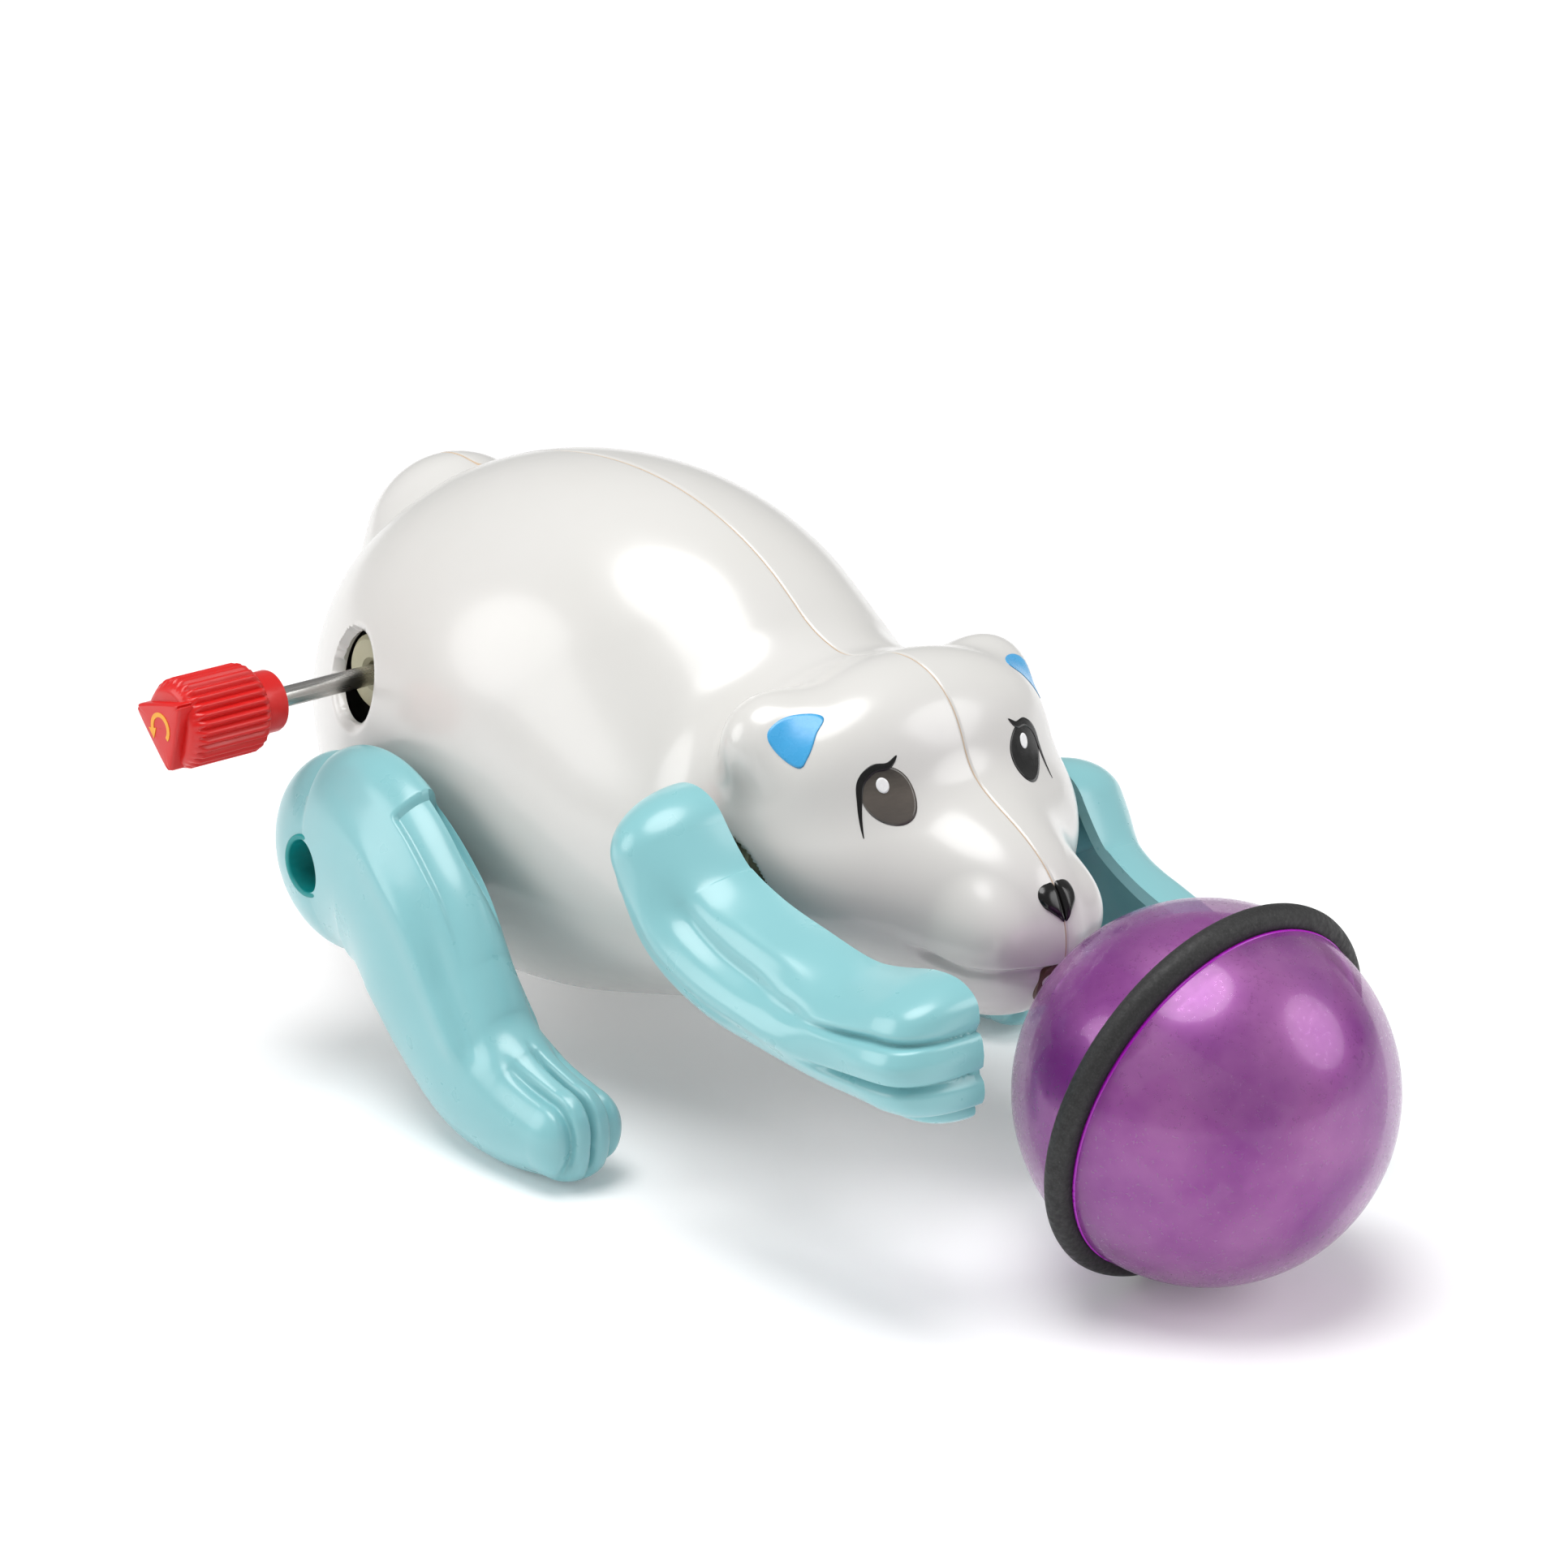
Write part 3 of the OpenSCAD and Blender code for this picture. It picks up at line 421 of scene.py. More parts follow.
def body_half(side, outside):
    """Grid of points over one half of the body. side is -1 on the right."""
    rows, cols = 620, 280
    a = np.linspace(0, math.pi, rows)[:, None]
    even = np.linspace(-1, 1, cols)
    b = (math.pi / 2) * (even + 0.12 * np.sin(math.pi * even))[None, :]
    start = SPINE_REAR + (SPINE_FRONT - SPINE_REAR) * ((1 - np.cos(a)) / 2)[..., None]
    start = np.broadcast_to(start, (rows, cols, 3)).copy()
    parts = (-np.cos(a), side * np.sin(a) * np.cos(b), np.sin(a) * np.sin(b))
    direction = np.stack(np.broadcast_arrays(*parts), -1)

    def depth(p):
        d = fillet(p, CRANK[0], CRANK[2], SHOULDER_R, 0.7)
        if side < 0:
            d = d + fillet(p, ARBOR[0], ARBOR[2], KEY_HOLE_R, 1.0)
        seam = 0.14 * np.clip(1 - np.abs(p[..., 1]) / 0.25, 0, 1)
        return d * (np.abs(p[..., 1]) > 8) + seam

    if outside:
        return reach(start, direction, depth, detailed)
    return reach(start, direction, WALL, bear)


def make_shell(name, side):
    """One half of the body with its shoulder hole and, on the right, the key hole."""
    points, faces = double_skin(body_half(side, True), body_half(side, False))
    piece = mesh_piece(name + "_skin", points, faces, "body", WHITE, [name])
    holes = [rod_cutter(CRANK[0], CRANK[2], SHOULDER_R, side * 8, side * 40)]
    if side < 0:
        holes.append(rod_cutter(ARBOR[0], ARBOR[2], KEY_HOLE_R, -8, -40))
    cut(piece, holes)
    sharpen(piece, 50)
    return piece


for name, side in SIDES:
    make_shell("shell_" + name, side)


def make_seam():
    """Thin flash that shows as a tan hairline in the seam, all round the body."""
    turns = np.linspace(0, 2 * math.pi, 721)[:-1]
    a = np.where(turns <= math.pi, turns, 2 * math.pi - turns)
    up = np.where(turns <= math.pi, 1.0, -1.0)
    start = SPINE_REAR + (SPINE_FRONT - SPINE_REAR) * ((1 - np.cos(a)) / 2)[:, None]
    direction = np.stack([-np.cos(a), 0 * a, up * np.sin(a)], -1)
    rings = []
    for depth, y in ((0.07, -0.035), (0.07, 0.035), (0.9, 0.035), (0.9, -0.035)):
        ring = reach(start, direction, depth, bear)
        ring[:, 1] = y
        rings.append(ring)
    grid = np.stack(rings, 1)
    count = len(turns)
    faces = []
    for i in range(count):
        for j in range(4):
            k, n = (i + 1) % count, (j + 1) % 4
            faces.append((i * 4 + j, k * 4 + j, k * 4 + n, i * 4 + n))
    mesh_piece("seam_flash", grid.reshape(-1, 3), faces, "body", TAN)


make_seam()


# ---- Printed marks: thin sheets laid on the skin ----
def smooth_outline(corners, steps=10, closed=True):
    """A curve through listed corners (Catmull-Rom)."""
    c = np.array(corners, float)
    n = len(c)
    out = []
    for i in range(n if closed else n - 1):
        if closed:
            p = [c[(i + k) % n] for k in (-1, 0, 1, 2)]
        else:
            p = [c[max(i - 1, 0)], c[i], c[i + 1], c[min(i + 2, n - 1)]]
        for s in range(steps):
            t = s / steps
            out.append(0.5 * (2 * p[1] + t * (p[2] - p[0]) + t * t * (2 * p[0] - 5 * p[1] + 4 * p[2] - p[3])
                              + t ** 3 * (3 * (p[1] - p[2]) + p[3] - p[0])))
    if not closed:
        out.append(c[-1])
    return np.array(out)


def lay_on(plane, lift):
    """Moves points [y, z] onto the front of the skin along X, raised by lift."""
    y, z = plane[..., 0], plane[..., 1]
    x = np.full(y.shape, LAY_FROM_X)
    for _ in range(60):
        p = np.stack([x, y, z], -1)
        x = np.maximum(x - 0.6 * (detailed(p) - lift), FACE_BACK_X)
    return np.stack([x, y, z], -1)


def decal(name, outline, lift, material, inset_rings=10, sink=0.05, dome=0.0):
    """A printed patch in the [y, z] plane of the face: rings from the outline in to its middle."""
    outline = np.asarray(outline, float)
    middle = outline.mean(0)
    n = len(outline)
    layers = [lay_on(outline, -sink)]
    for s in np.linspace(1, 0, inset_rings, endpoint=False):
        layers.append(lay_on(middle + (outline - middle) * s, lift + dome * (1 - s ** 4)))
    points = np.vstack(layers + [lay_on(middle[None], lift + dome)])
    faces = grid_faces(inset_rings + 1, n, wrap=True)
    last, tip = inset_rings * n, len(points) - 1
    faces += [(last + j, last + (j + 1) % n, tip) for j in range(n)]
    return mesh_piece(name, points, faces, "body", material)


def strip_decal(name, left, right, lift, material):
    """A printed stroke between two edges with the same number of points."""
    across = np.linspace(0, 1, 5)[None, :, None]
    grid = left[:, None] * (1 - across) + right[:, None] * across
    top = lay_on(grid, lift)
    base = lay_on(grid[:, [0, -1]], -0.05)
    grid3 = np.concatenate([base[:, :1], top, base[:, 1:]], 1)
    rows, cols = grid3.shape[:2]
    return mesh_piece(name, grid3.reshape(-1, 3), grid_faces(rows, cols), "body", material)


EYES = {"right": (8.7, 38.5), "left": (7.8, 38.9)}
IRIS_R = (2.35, 2.45)
GLINT_R = (0.55, 0.66)
# Middle line of the lashes from the inner tip to the tail, from the middle of the eye
LASH = [(-1.5, 3.2), (-0.5, 2.45), (0.9, 2.3), (2.1, 1.25), (2.6, -0.6), (3.15, -3.2)]
LASH_WIDTH = 0.33


def iris_material():
    """Brown-grey print that is darker at the top, with fine streaks."""
    material, shader = principled("iris_print", (0.1, 0.085, 0.07), 0.25, Coat_Weight=0.3)
    tree = material.node_tree
    place = tree.nodes.new("ShaderNodeTexCoord")
    split = tree.nodes.new("ShaderNodeSeparateXYZ")
    height = tree.nodes.new("ShaderNodeMapRange")
    height.inputs["From Min"].default_value = (EYES["right"][1] - 2.9) * MM
    height.inputs["From Max"].default_value = (EYES["right"][1] + 3.6) * MM
    tree.links.new(place.outputs["Object"], split.inputs["Vector"])
    tree.links.new(split.outputs["Z"], height.inputs["Value"])
    streak = noise(material, 1500, 3.0, (1, 0.6, 2.2))
    mix = tree.nodes.new("ShaderNodeMath")
    mix.operation = "MULTIPLY_ADD"
    mix.inputs[1].default_value = 0.22
    tree.links.new(streak, mix.inputs[0])
    tree.links.new(height.outputs["Result"], mix.inputs[2])
    tree.links.new(ramp(material, mix.outputs[0], [
        (0.1, (0.065, 0.056, 0.05)), (0.55, (0.1, 0.085, 0.072)), (0.75, (0.07, 0.06, 0.05)),
        (1.0, (0.01, 0.009, 0.008))]), shader.inputs["Base Color"])
    bump(material, shader, streak, 0.2, 0.02)
    return material


IRIS = iris_material()


def make_eye(name, side):
    """Iris, glint and lashes of one eye; the far iris is plain black."""
    angles = np.linspace(0, 2 * math.pi, 48, endpoint=False)
    ring = np.stack([np.cos(angles), np.sin(angles)], -1)
    centre = np.array(EYES[name])
    flip = np.array([side, 1])
    iris_print = IRIS if side < 0 else BLACK
    decal("iris_" + name, (centre + ring * IRIS_R) * flip, 0.03, iris_print)
    glint_at = centre + np.array([0.35 if side < 0 else 0.05, 0.9])
    decal("glint_" + name, (glint_at + ring * GLINT_R) * flip, 0.07, PRINT_WHITE, inset_rings=4)
    mid = smooth_outline(LASH, 10, closed=False)
    t = np.linspace(0, 1, len(mid))
    run = np.gradient(mid, axis=0)
    out_dir = np.stack([-run[:, 1], run[:, 0]], -1) / np.linalg.norm(run, axis=1)[:, None]
    width = LASH_WIDTH * np.sin(math.pi * t ** 0.8)[:, None] + 0.02
    left = (centre + mid - out_dir * width) * flip
    right = (centre + mid + out_dir * width) * flip
    strip_decal("lash_" + name, left, right, 0.045, BLACK)


def make_ear_paint(name, side):
    """Blue print on the flat front of one ear."""
    corners = [(11.3, 44.9), (12.6, 45.0), (14.2, 44.7), (15.4, 44.0), (15.8, 43.2), (15.6, 42.2),
               (15.1, 41.3), (14.6, 41.1), (13.9, 42.0), (12.6, 43.7)]
    outline = smooth_outline(corners, 6) * np.array([side, 1])
    decal("ear_paint_" + name, outline, 0.04, EAR_BLUE)


for name, side in SIDES:
    make_eye(name, side)
    make_ear_paint(name, side)


def make_nose():
    """Two black lobes with the seam between them."""
    for name, side in SIDES:
        corners = [(0.06, 31.3), (0.8, 31.6), (1.65, 31.35), (2.05, 30.7), (1.85, 29.9), (1.3, 29.4),
                   (0.6, 28.8), (0.06, 28.5)]
        outline = smooth_outline(corners, 6) * np.array([side, 1])
        outline[:, 0] = side * np.maximum(np.abs(outline[:, 0]), 0.05)
        decal("nose_" + name, outline, 0.03, BLACK, inset_rings=12, sink=0.3, dome=0.4)


make_nose()


# ---- Limbs: lofts along a line, as in the CAD, with toes and flutes ----
ARM_LINE = np.array([[0.2, 2.3, 5.2], [4, -2.9, 6.2], [9.6, -5.6, 6.3], [16.6, -6.8, 5.9], [24.6, -7.6, 5.6],
                     [32, -7, 6.4]])
LEFT_ARM_PITCH = 7
PAW_BLUNT = 0.6
FOOT_BLUNT = 0.8
SOLE_WALL = 0.5
# [x, parting plane from the middle, z, half height, outer depth, inner depth]
LEG_LINE = np.array([
    [HIP[0], HIP_SEAM, HIP[2], 9.9, 6.3, 1.3],
    [7.5, HIP_SEAM + 1, 21.9, 11.3, 6.4, 2.2],
    [14.8, HIP_SEAM + 2.2, 18.2, 10.5, 6.3, 3.4],
    [20.2, HIP_SEAM + 3.1, 12.4, 9, 5.6, 4.4],
    [25.2, HIP_SEAM + 3.5, 7.9, 7.6, 5.4, 4.8],
    [30.8, HIP_SEAM + 3.6, 5.8, 6.1, 5.2, 5],
    [36.6, HIP_SEAM + 3.4, 5.1, 4.6, 4.8, 5]])
LIMB_WALL = 1.3
HIP_HOLE_R = 2.6


def curve(rows, t):
    """Values of a smooth curve through the rows of a table, at t counted in rows."""
    n = len(rows) - 1
    i = np.minimum(np.floor(t).astype(int), n - 1)
    f = (t - i)[:, None]
    p0, p1, p2, p3 = rows[np.maximum(i - 1, 0)], rows[i], rows[i + 1], rows[np.minimum(i + 2, n)]
    return p1 + 0.5 * f * (p2 - p0 + f * (2 * p0 - 5 * p1 + 4 * p2 - p3 + f * (3 * (p1 - p2) + p3 - p0)))


def limb_grid(rows, inset, side, detail, blunt=1.0, steps=260, cap=36, cols=150):
    """Grid over one side of a limb. rows: x, y, z, half height, depth.

    detail(t, v, h, q) gives a dent in mm, from the place along the limb, the angle as a sine, and the
    height and depth as shares. blunt under 1 squares off the far end.
    """
    n = len(rows) - 1
    angle = np.linspace(0, math.pi / 2, cap, endpoint=False)
    t = np.concatenate([np.zeros(cap), np.linspace(0, n, steps), np.full(cap, float(n))])
    share = np.concatenate([np.sin(angle), np.ones(steps), np.sin(angle)[::-1] ** blunt])
    nose_shift = np.cos(angle)[::-1] ** blunt * (0.55 + 0.45 * blunt)
    shift = np.concatenate([-np.cos(angle), np.zeros(steps), nose_shift])
    r = curve(rows, t)
    run = curve(rows, np.minimum(t + 0.05, n)) - curve(rows, np.maximum(t - 0.05, 0))
    u = run[:, [0, 2]] / np.linalg.norm(run[:, [0, 2]], axis=1)[:, None]
    b = np.radians(90 - 180 * np.linspace(0, 1, cols))[None, :]
    w, d = r[:, 3] - inset, r[:, 4] - inset
    h, q = share[:, None] * np.sin(b), share[:, None] * np.cos(b)
    dent = detail(t[:, None] / n, np.sin(b), h, q) if detail else 0.0
    scale = 1 - dent / np.maximum(np.minimum(r[:, 3], r[:, 4]), 1)[:, None]
    high, deep = w[:, None] * h * scale, d[:, None] * q * scale
    along = (shift * w)[:, None] * scale
    return np.stack([r[:, :1] + u[:, :1] * along - u[:, 1:] * high,
                     r[:, 1:2] + side * deep,
                     r[:, 2:3] + u[:, 1:] * along + u[:, :1] * high], -1)


def step01(x, lo, hi):
    """Soft step from 0 at lo to 1 at hi."""
    s = np.clip((x - lo) / (hi - lo), 0, 1)
    return s * s * (3 - 2 * s)


def groove(v, at, width):
    """Soft bell of height 1 round one place."""
    return np.exp(-((v - at) / width) ** 2)


def arm_detail(t, v, h, q):
    """Three toe grooves at the paw, a flute along the arm and the ridges beside it."""
    paw = step01(t, 0.74, 0.92)
    toes = sum(groove(h, at, 0.055) for at in (0.36, -0.26, -0.76))
    bulge = sum(groove(h, at, 0.17) for at in (0.68, 0.05, -0.52)) * step01(t, 0.85, 1)
    flute = groove(v, 0.5 - 0.3 * (t - 0.3), 0.17) * step01(t, 0.06, 0.3) * (1 - step01(t, 0.55, 0.75))
    ridge = groove(v, 0.1 - 0.3 * t, 0.17) * step01(t, 0.05, 0.25) * (1 - step01(t, 0.65, 0.85))
    upper = groove(v, 0.82, 0.1) * step01(t, 0.3, 0.5) * (1 - step01(t, 0.6, 0.75))
    dimple = groove(h, 0.36, 0.14) * groove(t, 0.72, 0.05)
    return 0.75 * toes * paw - 0.3 * bulge + 0.8 * flute - 0.4 * ridge - 0.3 * upper + 0.4 * dimple


def leg_detail(t, v, h, q):
    """Grooves between the toes, a ridge down the shin, the fold under the hip and a step by the seam."""
    foot = step01(t, 0.78, 0.96) * step01(h, -0.9, -0.4)
    toes = groove(q, 0.52, 0.1) + 1.3 * groove(q, 0, 0.07)
    ridge = groove(v, 0.42, 0.14) * step01(t, 0.12, 0.3) * (1 - step01(t, 0.62, 0.75))
    beside = groove(v, 0.66, 0.12) * step01(t, 0.3, 0.45) * (1 - step01(t, 0.68, 0.8))
    fold = groove(t, 0.25, 0.08) * step01(-v, -0.1, 0.7)
    notch = step01(t, 0.222, 0.226) * (1 - step01(t, 0.3, 0.5)) * step01(v, 0.8, 0.86)
    return 0.9 * toes * foot - 0.5 * ridge + 0.35 * beside + 0.35 * fold + 0.45 * notch


def make_arm(name, side):
    pin = PINS[name]
    rows = np.stack([ARM_LINE[:, 0], np.full(len(ARM_LINE), ARM_RIM), ARM_LINE[:, 1], ARM_LINE[:, 2],
                     np.full(len(ARM_LINE), ARM_DEPTH)], -1)
    outer = limb_grid(rows, 0, 1, arm_detail, PAW_BLUNT)
    inner = limb_grid(rows, LIMB_WALL, 1, arm_detail, PAW_BLUNT)
    points, faces = double_skin(outer, inner)
    boss, boss_faces = lathe([(1.25, ARM_RIM), (2.5, ARM_RIM), (2.5, ARM_RIM + 6.6), (1.25, ARM_RIM + 6.6)],
                             (0, 0, 0), (0, 1, 0), (1, 0, 0), 40)
    turn = math.radians(LEFT_ARM_PITCH if side > 0 else 0)
    points = np.vstack([points, boss])
    faces += [tuple(k + len(points) - len(boss) for k in f) for f in boss_faces]
    x = points[:, 0] * math.cos(turn) + points[:, 2] * math.sin(turn)
    z = points[:, 2] * math.cos(turn) - points[:, 0] * math.sin(turn)
    points = np.stack([x + pin[0], side * points[:, 1], z + pin[2]], -1)
    piece = mesh_piece("arm_%s_shell" % name, points, faces, "arm_" + name, TURQUOISE,
                       ["arm_" + name])
    sharpen(piece, 55)


for name, side in SIDES:
    make_arm(name, side)


def raised(points, lowest):
    """Points with none lower than this height."""
    points[..., 2] = np.maximum(points[..., 2], lowest)
    return points


def make_leg(name, side):
    for half, column, turn in (("outer", 4, 1), ("inner", 5, -1)):
        rows = LEG_LINE[:, [0, 1, 2, 3, column]]
        outer = raised(limb_grid(rows, 0, turn, leg_detail, FOOT_BLUNT), 0.0)
        inner = raised(limb_grid(rows, LIMB_WALL, turn, None, FOOT_BLUNT), SOLE_WALL)
        points, faces = double_skin(outer, inner)
        points = points * np.array([1, side, 1])
        node = "leg_%s_%s" % (name, half)
        piece = mesh_piece(node + "_shell", points, faces, "leg_" + name, TURQUOISE, [node])
        if half == "outer":
            cut(piece, [rod_cutter(HIP[0], HIP[2], HIP_HOLE_R, side * (HIP_SEAM + 0.5), side * 40)])
        sharpen(piece, 50)
    # Tube of the hole in the hip, with a rounded mouth, coloured dark teal as painted shade in the hole
    mouth_y = HIP_SEAM + 6.2
    profile = rounded([(2.35, HIP_SEAM + 0.2), (2.35, HIP_SEAM + 2.1), (HIP_HOLE_R - 0.05, HIP_SEAM + 2.1),
                       (HIP_HOLE_R - 0.05, mouth_y), (HIP_HOLE_R + 0.5, mouth_y + 0.05),
                       (HIP_HOLE_R + 0.9, HIP_SEAM + 0.2)], 0.35)
    points, faces = lathe(profile, (HIP[0], 0, HIP[2]), (0, 1, 0), (1, 0, 0), 72)
    mesh_piece("leg_%s_socket" % name, points * np.array([1, side, 1]), faces, "leg_" + name, HOLE_SHADE_TEAL)


for name, side in SIDES:
    make_leg(name, side)


def make_hip_peg(name, side):
    """Peg of the body shell that the leg turns on, with a collar against the body."""
    profile = rounded([(0.7, HIP_SEAM + 1.95), (2.2, HIP_SEAM + 2.0), (2.2, HIP_SEAM - 1.6),
                       (3.6, HIP_SEAM - 1.6), (4.2, 19.5)], 0.3)
    points, faces = lathe(profile, (HIP[0], 0, HIP[2]), (0, 1, 0), (1, 0, 0), 64)
    mesh_piece("hip_peg_" + name, points * np.array([1, side, 1]), faces, "body", WHITE)


for name, side in SIDES:
    make_hip_peg(name, side)


# ---- Winding key ----
KNOB_R = 4.35
KNOB_RIBS = 30
RIB_DEPTH = 0.38
COLLAR_R = 3.0


def make_knob():
    """Ribbed barrel with chamfered ends, a collar and a raised three-sided pad on its outer end."""
    outer_end = KNOB_LO[1] + 1.0
    inner_end = KNOB_HI[1]
    barrel_end = inner_end - 2.6
    turns = KNOB_RIBS * 12
    angles = np.linspace(0, 2 * math.pi, turns, endpoint=False)
    wave = 0.5 + 0.5 * np.cos(angles * KNOB_RIBS)
    rib = wave ** 0.6
    stations = [(0.0, outer_end, 0), (3.1, outer_end, 0), (3.55, outer_end + 0.12, 0),
                (3.95, outer_end + 0.6, 0.0), (KNOB_R - 0.12, outer_end + 0.95, 0.85),
                (KNOB_R, outer_end + 1.3, 1.0)]
    stations += [(KNOB_R, y, 1.0) for y in np.linspace(outer_end + 1.6, barrel_end - 1.2, 12)]
    stations += [(KNOB_R, barrel_end - 0.9, 1.0), (KNOB_R - 0.15, barrel_end - 0.5, 0.8),
                 (3.7, barrel_end - 0.08, 0.0), (3.3, barrel_end, 0), (COLLAR_R, barrel_end + 0.05, 0),
                 (COLLAR_R, barrel_end + 0.3, 0), (COLLAR_R, inner_end - 0.35, 0),
                 (COLLAR_R - 0.1, inner_end - 0.1, 0),
                 (COLLAR_R - 0.35, inner_end, 0), (1.02, inner_end, 0), (1.02, inner_end - 2.0, 0)]
    rings = []
    for radius, y, ribs in stations:
        r = radius - ribs * RIB_DEPTH * (1 - rib)
        across, up = r * np.cos(angles), r * np.sin(angles)
        rings.append(np.stack([ARBOR[0] + across, np.full(turns, y), ARBOR[2] + up], -1))
    points = np.concatenate(rings)
    faces = grid_faces(len(rings), turns, wrap=True)
    piece = mesh_piece("key_knob", points, faces, "winding", RED,
                       ["winding_knob"])
    sharpen(piece, 40)
    make_knob_pad(outer_end)


def make_knob_pad(y):
    """Raised pad with three rounded corners, and a curved arrow on it that shows which way to wind."""
    corner_angles = np.radians([43, 163, 283])
    corners = []
    for a in corner_angles:
        for spread_a, r in ((-0.15, 3.7), (0, 3.85), (0.15, 3.7)):
            corners.append((r * math.cos(a + spread_a), r * math.sin(a + spread_a)))
    outline = smooth_outline(corners, 6)
    rings = []
    steps = ((1.0, -0.6), (1.0, 0.62), (0.985, 0.82), (0.94, 0.95), (0.88, 1.0), (0.5, 1.0), (0.02, 1.0))
    for s, lift in steps:
        rings.append(np.stack([ARBOR[0] + outline[:, 0] * s, np.full(len(outline), y - lift),
                               ARBOR[2] + outline[:, 1] * s], -1))
    piece = mesh_piece("key_knob_pad", np.concatenate(rings), grid_faces(len(rings), len(outline), wrap=True),
                       "winding", RED)
    sharpen(piece, 35)
    # Arrow: an arc with a three-sided head
    sweep = np.radians(np.linspace(-40, 190, 40))
    arc_r, half_width = 1.3, 0.22
    face_y = y - 1.0
    round_arc = np.stack([np.cos(sweep), np.sin(sweep)], -1)
    band = np.concatenate([(arc_r - half_width) * round_arc, (arc_r + half_width) * round_arc[::-1]])
    tip = sweep[-1]
    radial = np.array([math.cos(tip), math.sin(tip)])
    forward = np.array([-math.sin(tip), math.cos(tip)])
    head = np.array([radial * (arc_r - 0.6), radial * (arc_r + 0.6), radial * arc_r + forward * 1.0])
    for name, shape in (("winding_arrow", band), ("winding_arrow_head", head)):
        n = len(shape)
        low = np.stack([ARBOR[0] + shape[:, 0], np.full(n, face_y + 0.1), ARBOR[2] + shape[:, 1]], -1)
        high = low.copy()
        high[:, 1] = face_y - 0.06
        faces = [tuple(range(n, 2 * n)), tuple(range(n))[::-1]]
        if name == "winding_arrow":
            half = n // 2
            faces = [(n + k, n + k + 1, 2 * n - 2 - k, 2 * n - 1 - k) for k in range(half - 1)]
        faces += [(k, (k + 1) % n, (k + 1) % n + n, k + n) for k in range(n)]
        mesh_piece(name, np.vstack([low, high]), faces, "winding", YELLOW, smooth=False)


make_knob()


# ---- Ball ----
BALL_WALL = 1.2
RING_SPOT = BALL_R + 0.4
GROOVE_HALF = 1.12
HUB_HOLE_R = 3.0
PEG_CIRCLE = 9.5
PEG_R = 2.0
PEG_FOOT_R = 2.9


def pearl_material():
    """See-through purple with pale clouds and a pearly sheen."""
    material, shader = principled("pearl_purple", (0.34, 0.06, 0.36), 0.22, Coat_Weight=0.6,
                                  Coat_Roughness=0.08, Metallic=0.35, Alpha=0.62)
    link = material.node_tree.links.new
    cloud = noise(material, 90, 4.0)
    grain = noise(material, 2600, 2.0)
    link(ramp(material, cloud, [(0.35, (0.27, 0.035, 0.3)), (0.65, (0.45, 0.15, 0.44))]),
         shader.inputs["Base Color"])
    link(spread(material, grain, 0.25, 0.42), shader.inputs["Roughness"])
    bump(material, shader, grain, 0.25, 0.01)
    return material


PEARL = pearl_material()


def make_ball():
    inner_r = BALL_R - BALL_WALL
    for node, sign in (("ball_front_shell", 1), ("ball_rear_shell", -1)):
        edge = math.asin(GROOVE_HALF / BALL_R)
        outer = [(BALL_R * math.sin(a), sign * BALL_R * math.cos(a))
                 for a in np.linspace(0, math.pi / 2 - edge, 70)]
        lip = [(BALL_R - 0.12, sign * 0.95), (BALL_R - 0.55, sign * 0.55), (BALL_R - 0.75, sign * 0.02)]
        inner = [(inner_r * math.sin(a), sign * inner_r * math.cos(a))
                 for a in np.linspace(math.pi / 2 - 0.02, 0, 50)]
        if sign < 0:
            outer = ([(HUB_HOLE_R, -math.sqrt(BALL_R ** 2 - HUB_HOLE_R ** 2))]
                     + [p for p in outer if p[0] > HUB_HOLE_R + 0.1])
            inner = ([p for p in inner if p[0] > HUB_HOLE_R + 0.1]
                     + [(HUB_HOLE_R, -math.sqrt(inner_r ** 2 - HUB_HOLE_R ** 2))])
            profile = outer + lip + inner + [outer[0]]
        else:
            profile = outer + lip + inner
        points, faces = lathe(profile, BALL_AT, BALL_AXIS, turns=160)
        piece = mesh_piece(node + "_pearl", points, faces, "ball", PEARL, [node])
        sharpen(piece, 50)


def make_ring():
    """Rubber ring of round section with a fine moulding line."""
    angles = np.linspace(0, 2 * math.pi, 40, endpoint=False)
    section = []
    for a in angles:
        r = RING_R * (1 + 0.012 * math.exp(-(math.sin(a) / 0.12) ** 2))
        section.append((RING_SPOT + r * math.cos(a), r * math.sin(a)))
    section.append(section[0])
    points, faces = lathe(section, BALL_AT, BALL_AXIS, turns=220)
    mesh_piece("ball_tread", points, faces, "ball", RUBBER, ["ball_ring"])


def rubber_material():
    material, shader = principled("black_rubber", (0.012, 0.012, 0.012), 0.6)
    link = material.node_tree.links.new
    grain = noise(material, 1800, 6.0)
    dust = noise(material, 5200, 2.0)
    link(ramp(material, dust, [(0.45, (0.01, 0.01, 0.01)), (0.72, (0.022, 0.022, 0.022)),
                               (0.8, (0.07, 0.07, 0.065))]), shader.inputs["Base Color"])
    link(spread(material, grain, 0.5, 0.75), shader.inputs["Roughness"])
    bump(material, shader, grain, 0.6, 0.08)
    return material


RUBBER = rubber_material()


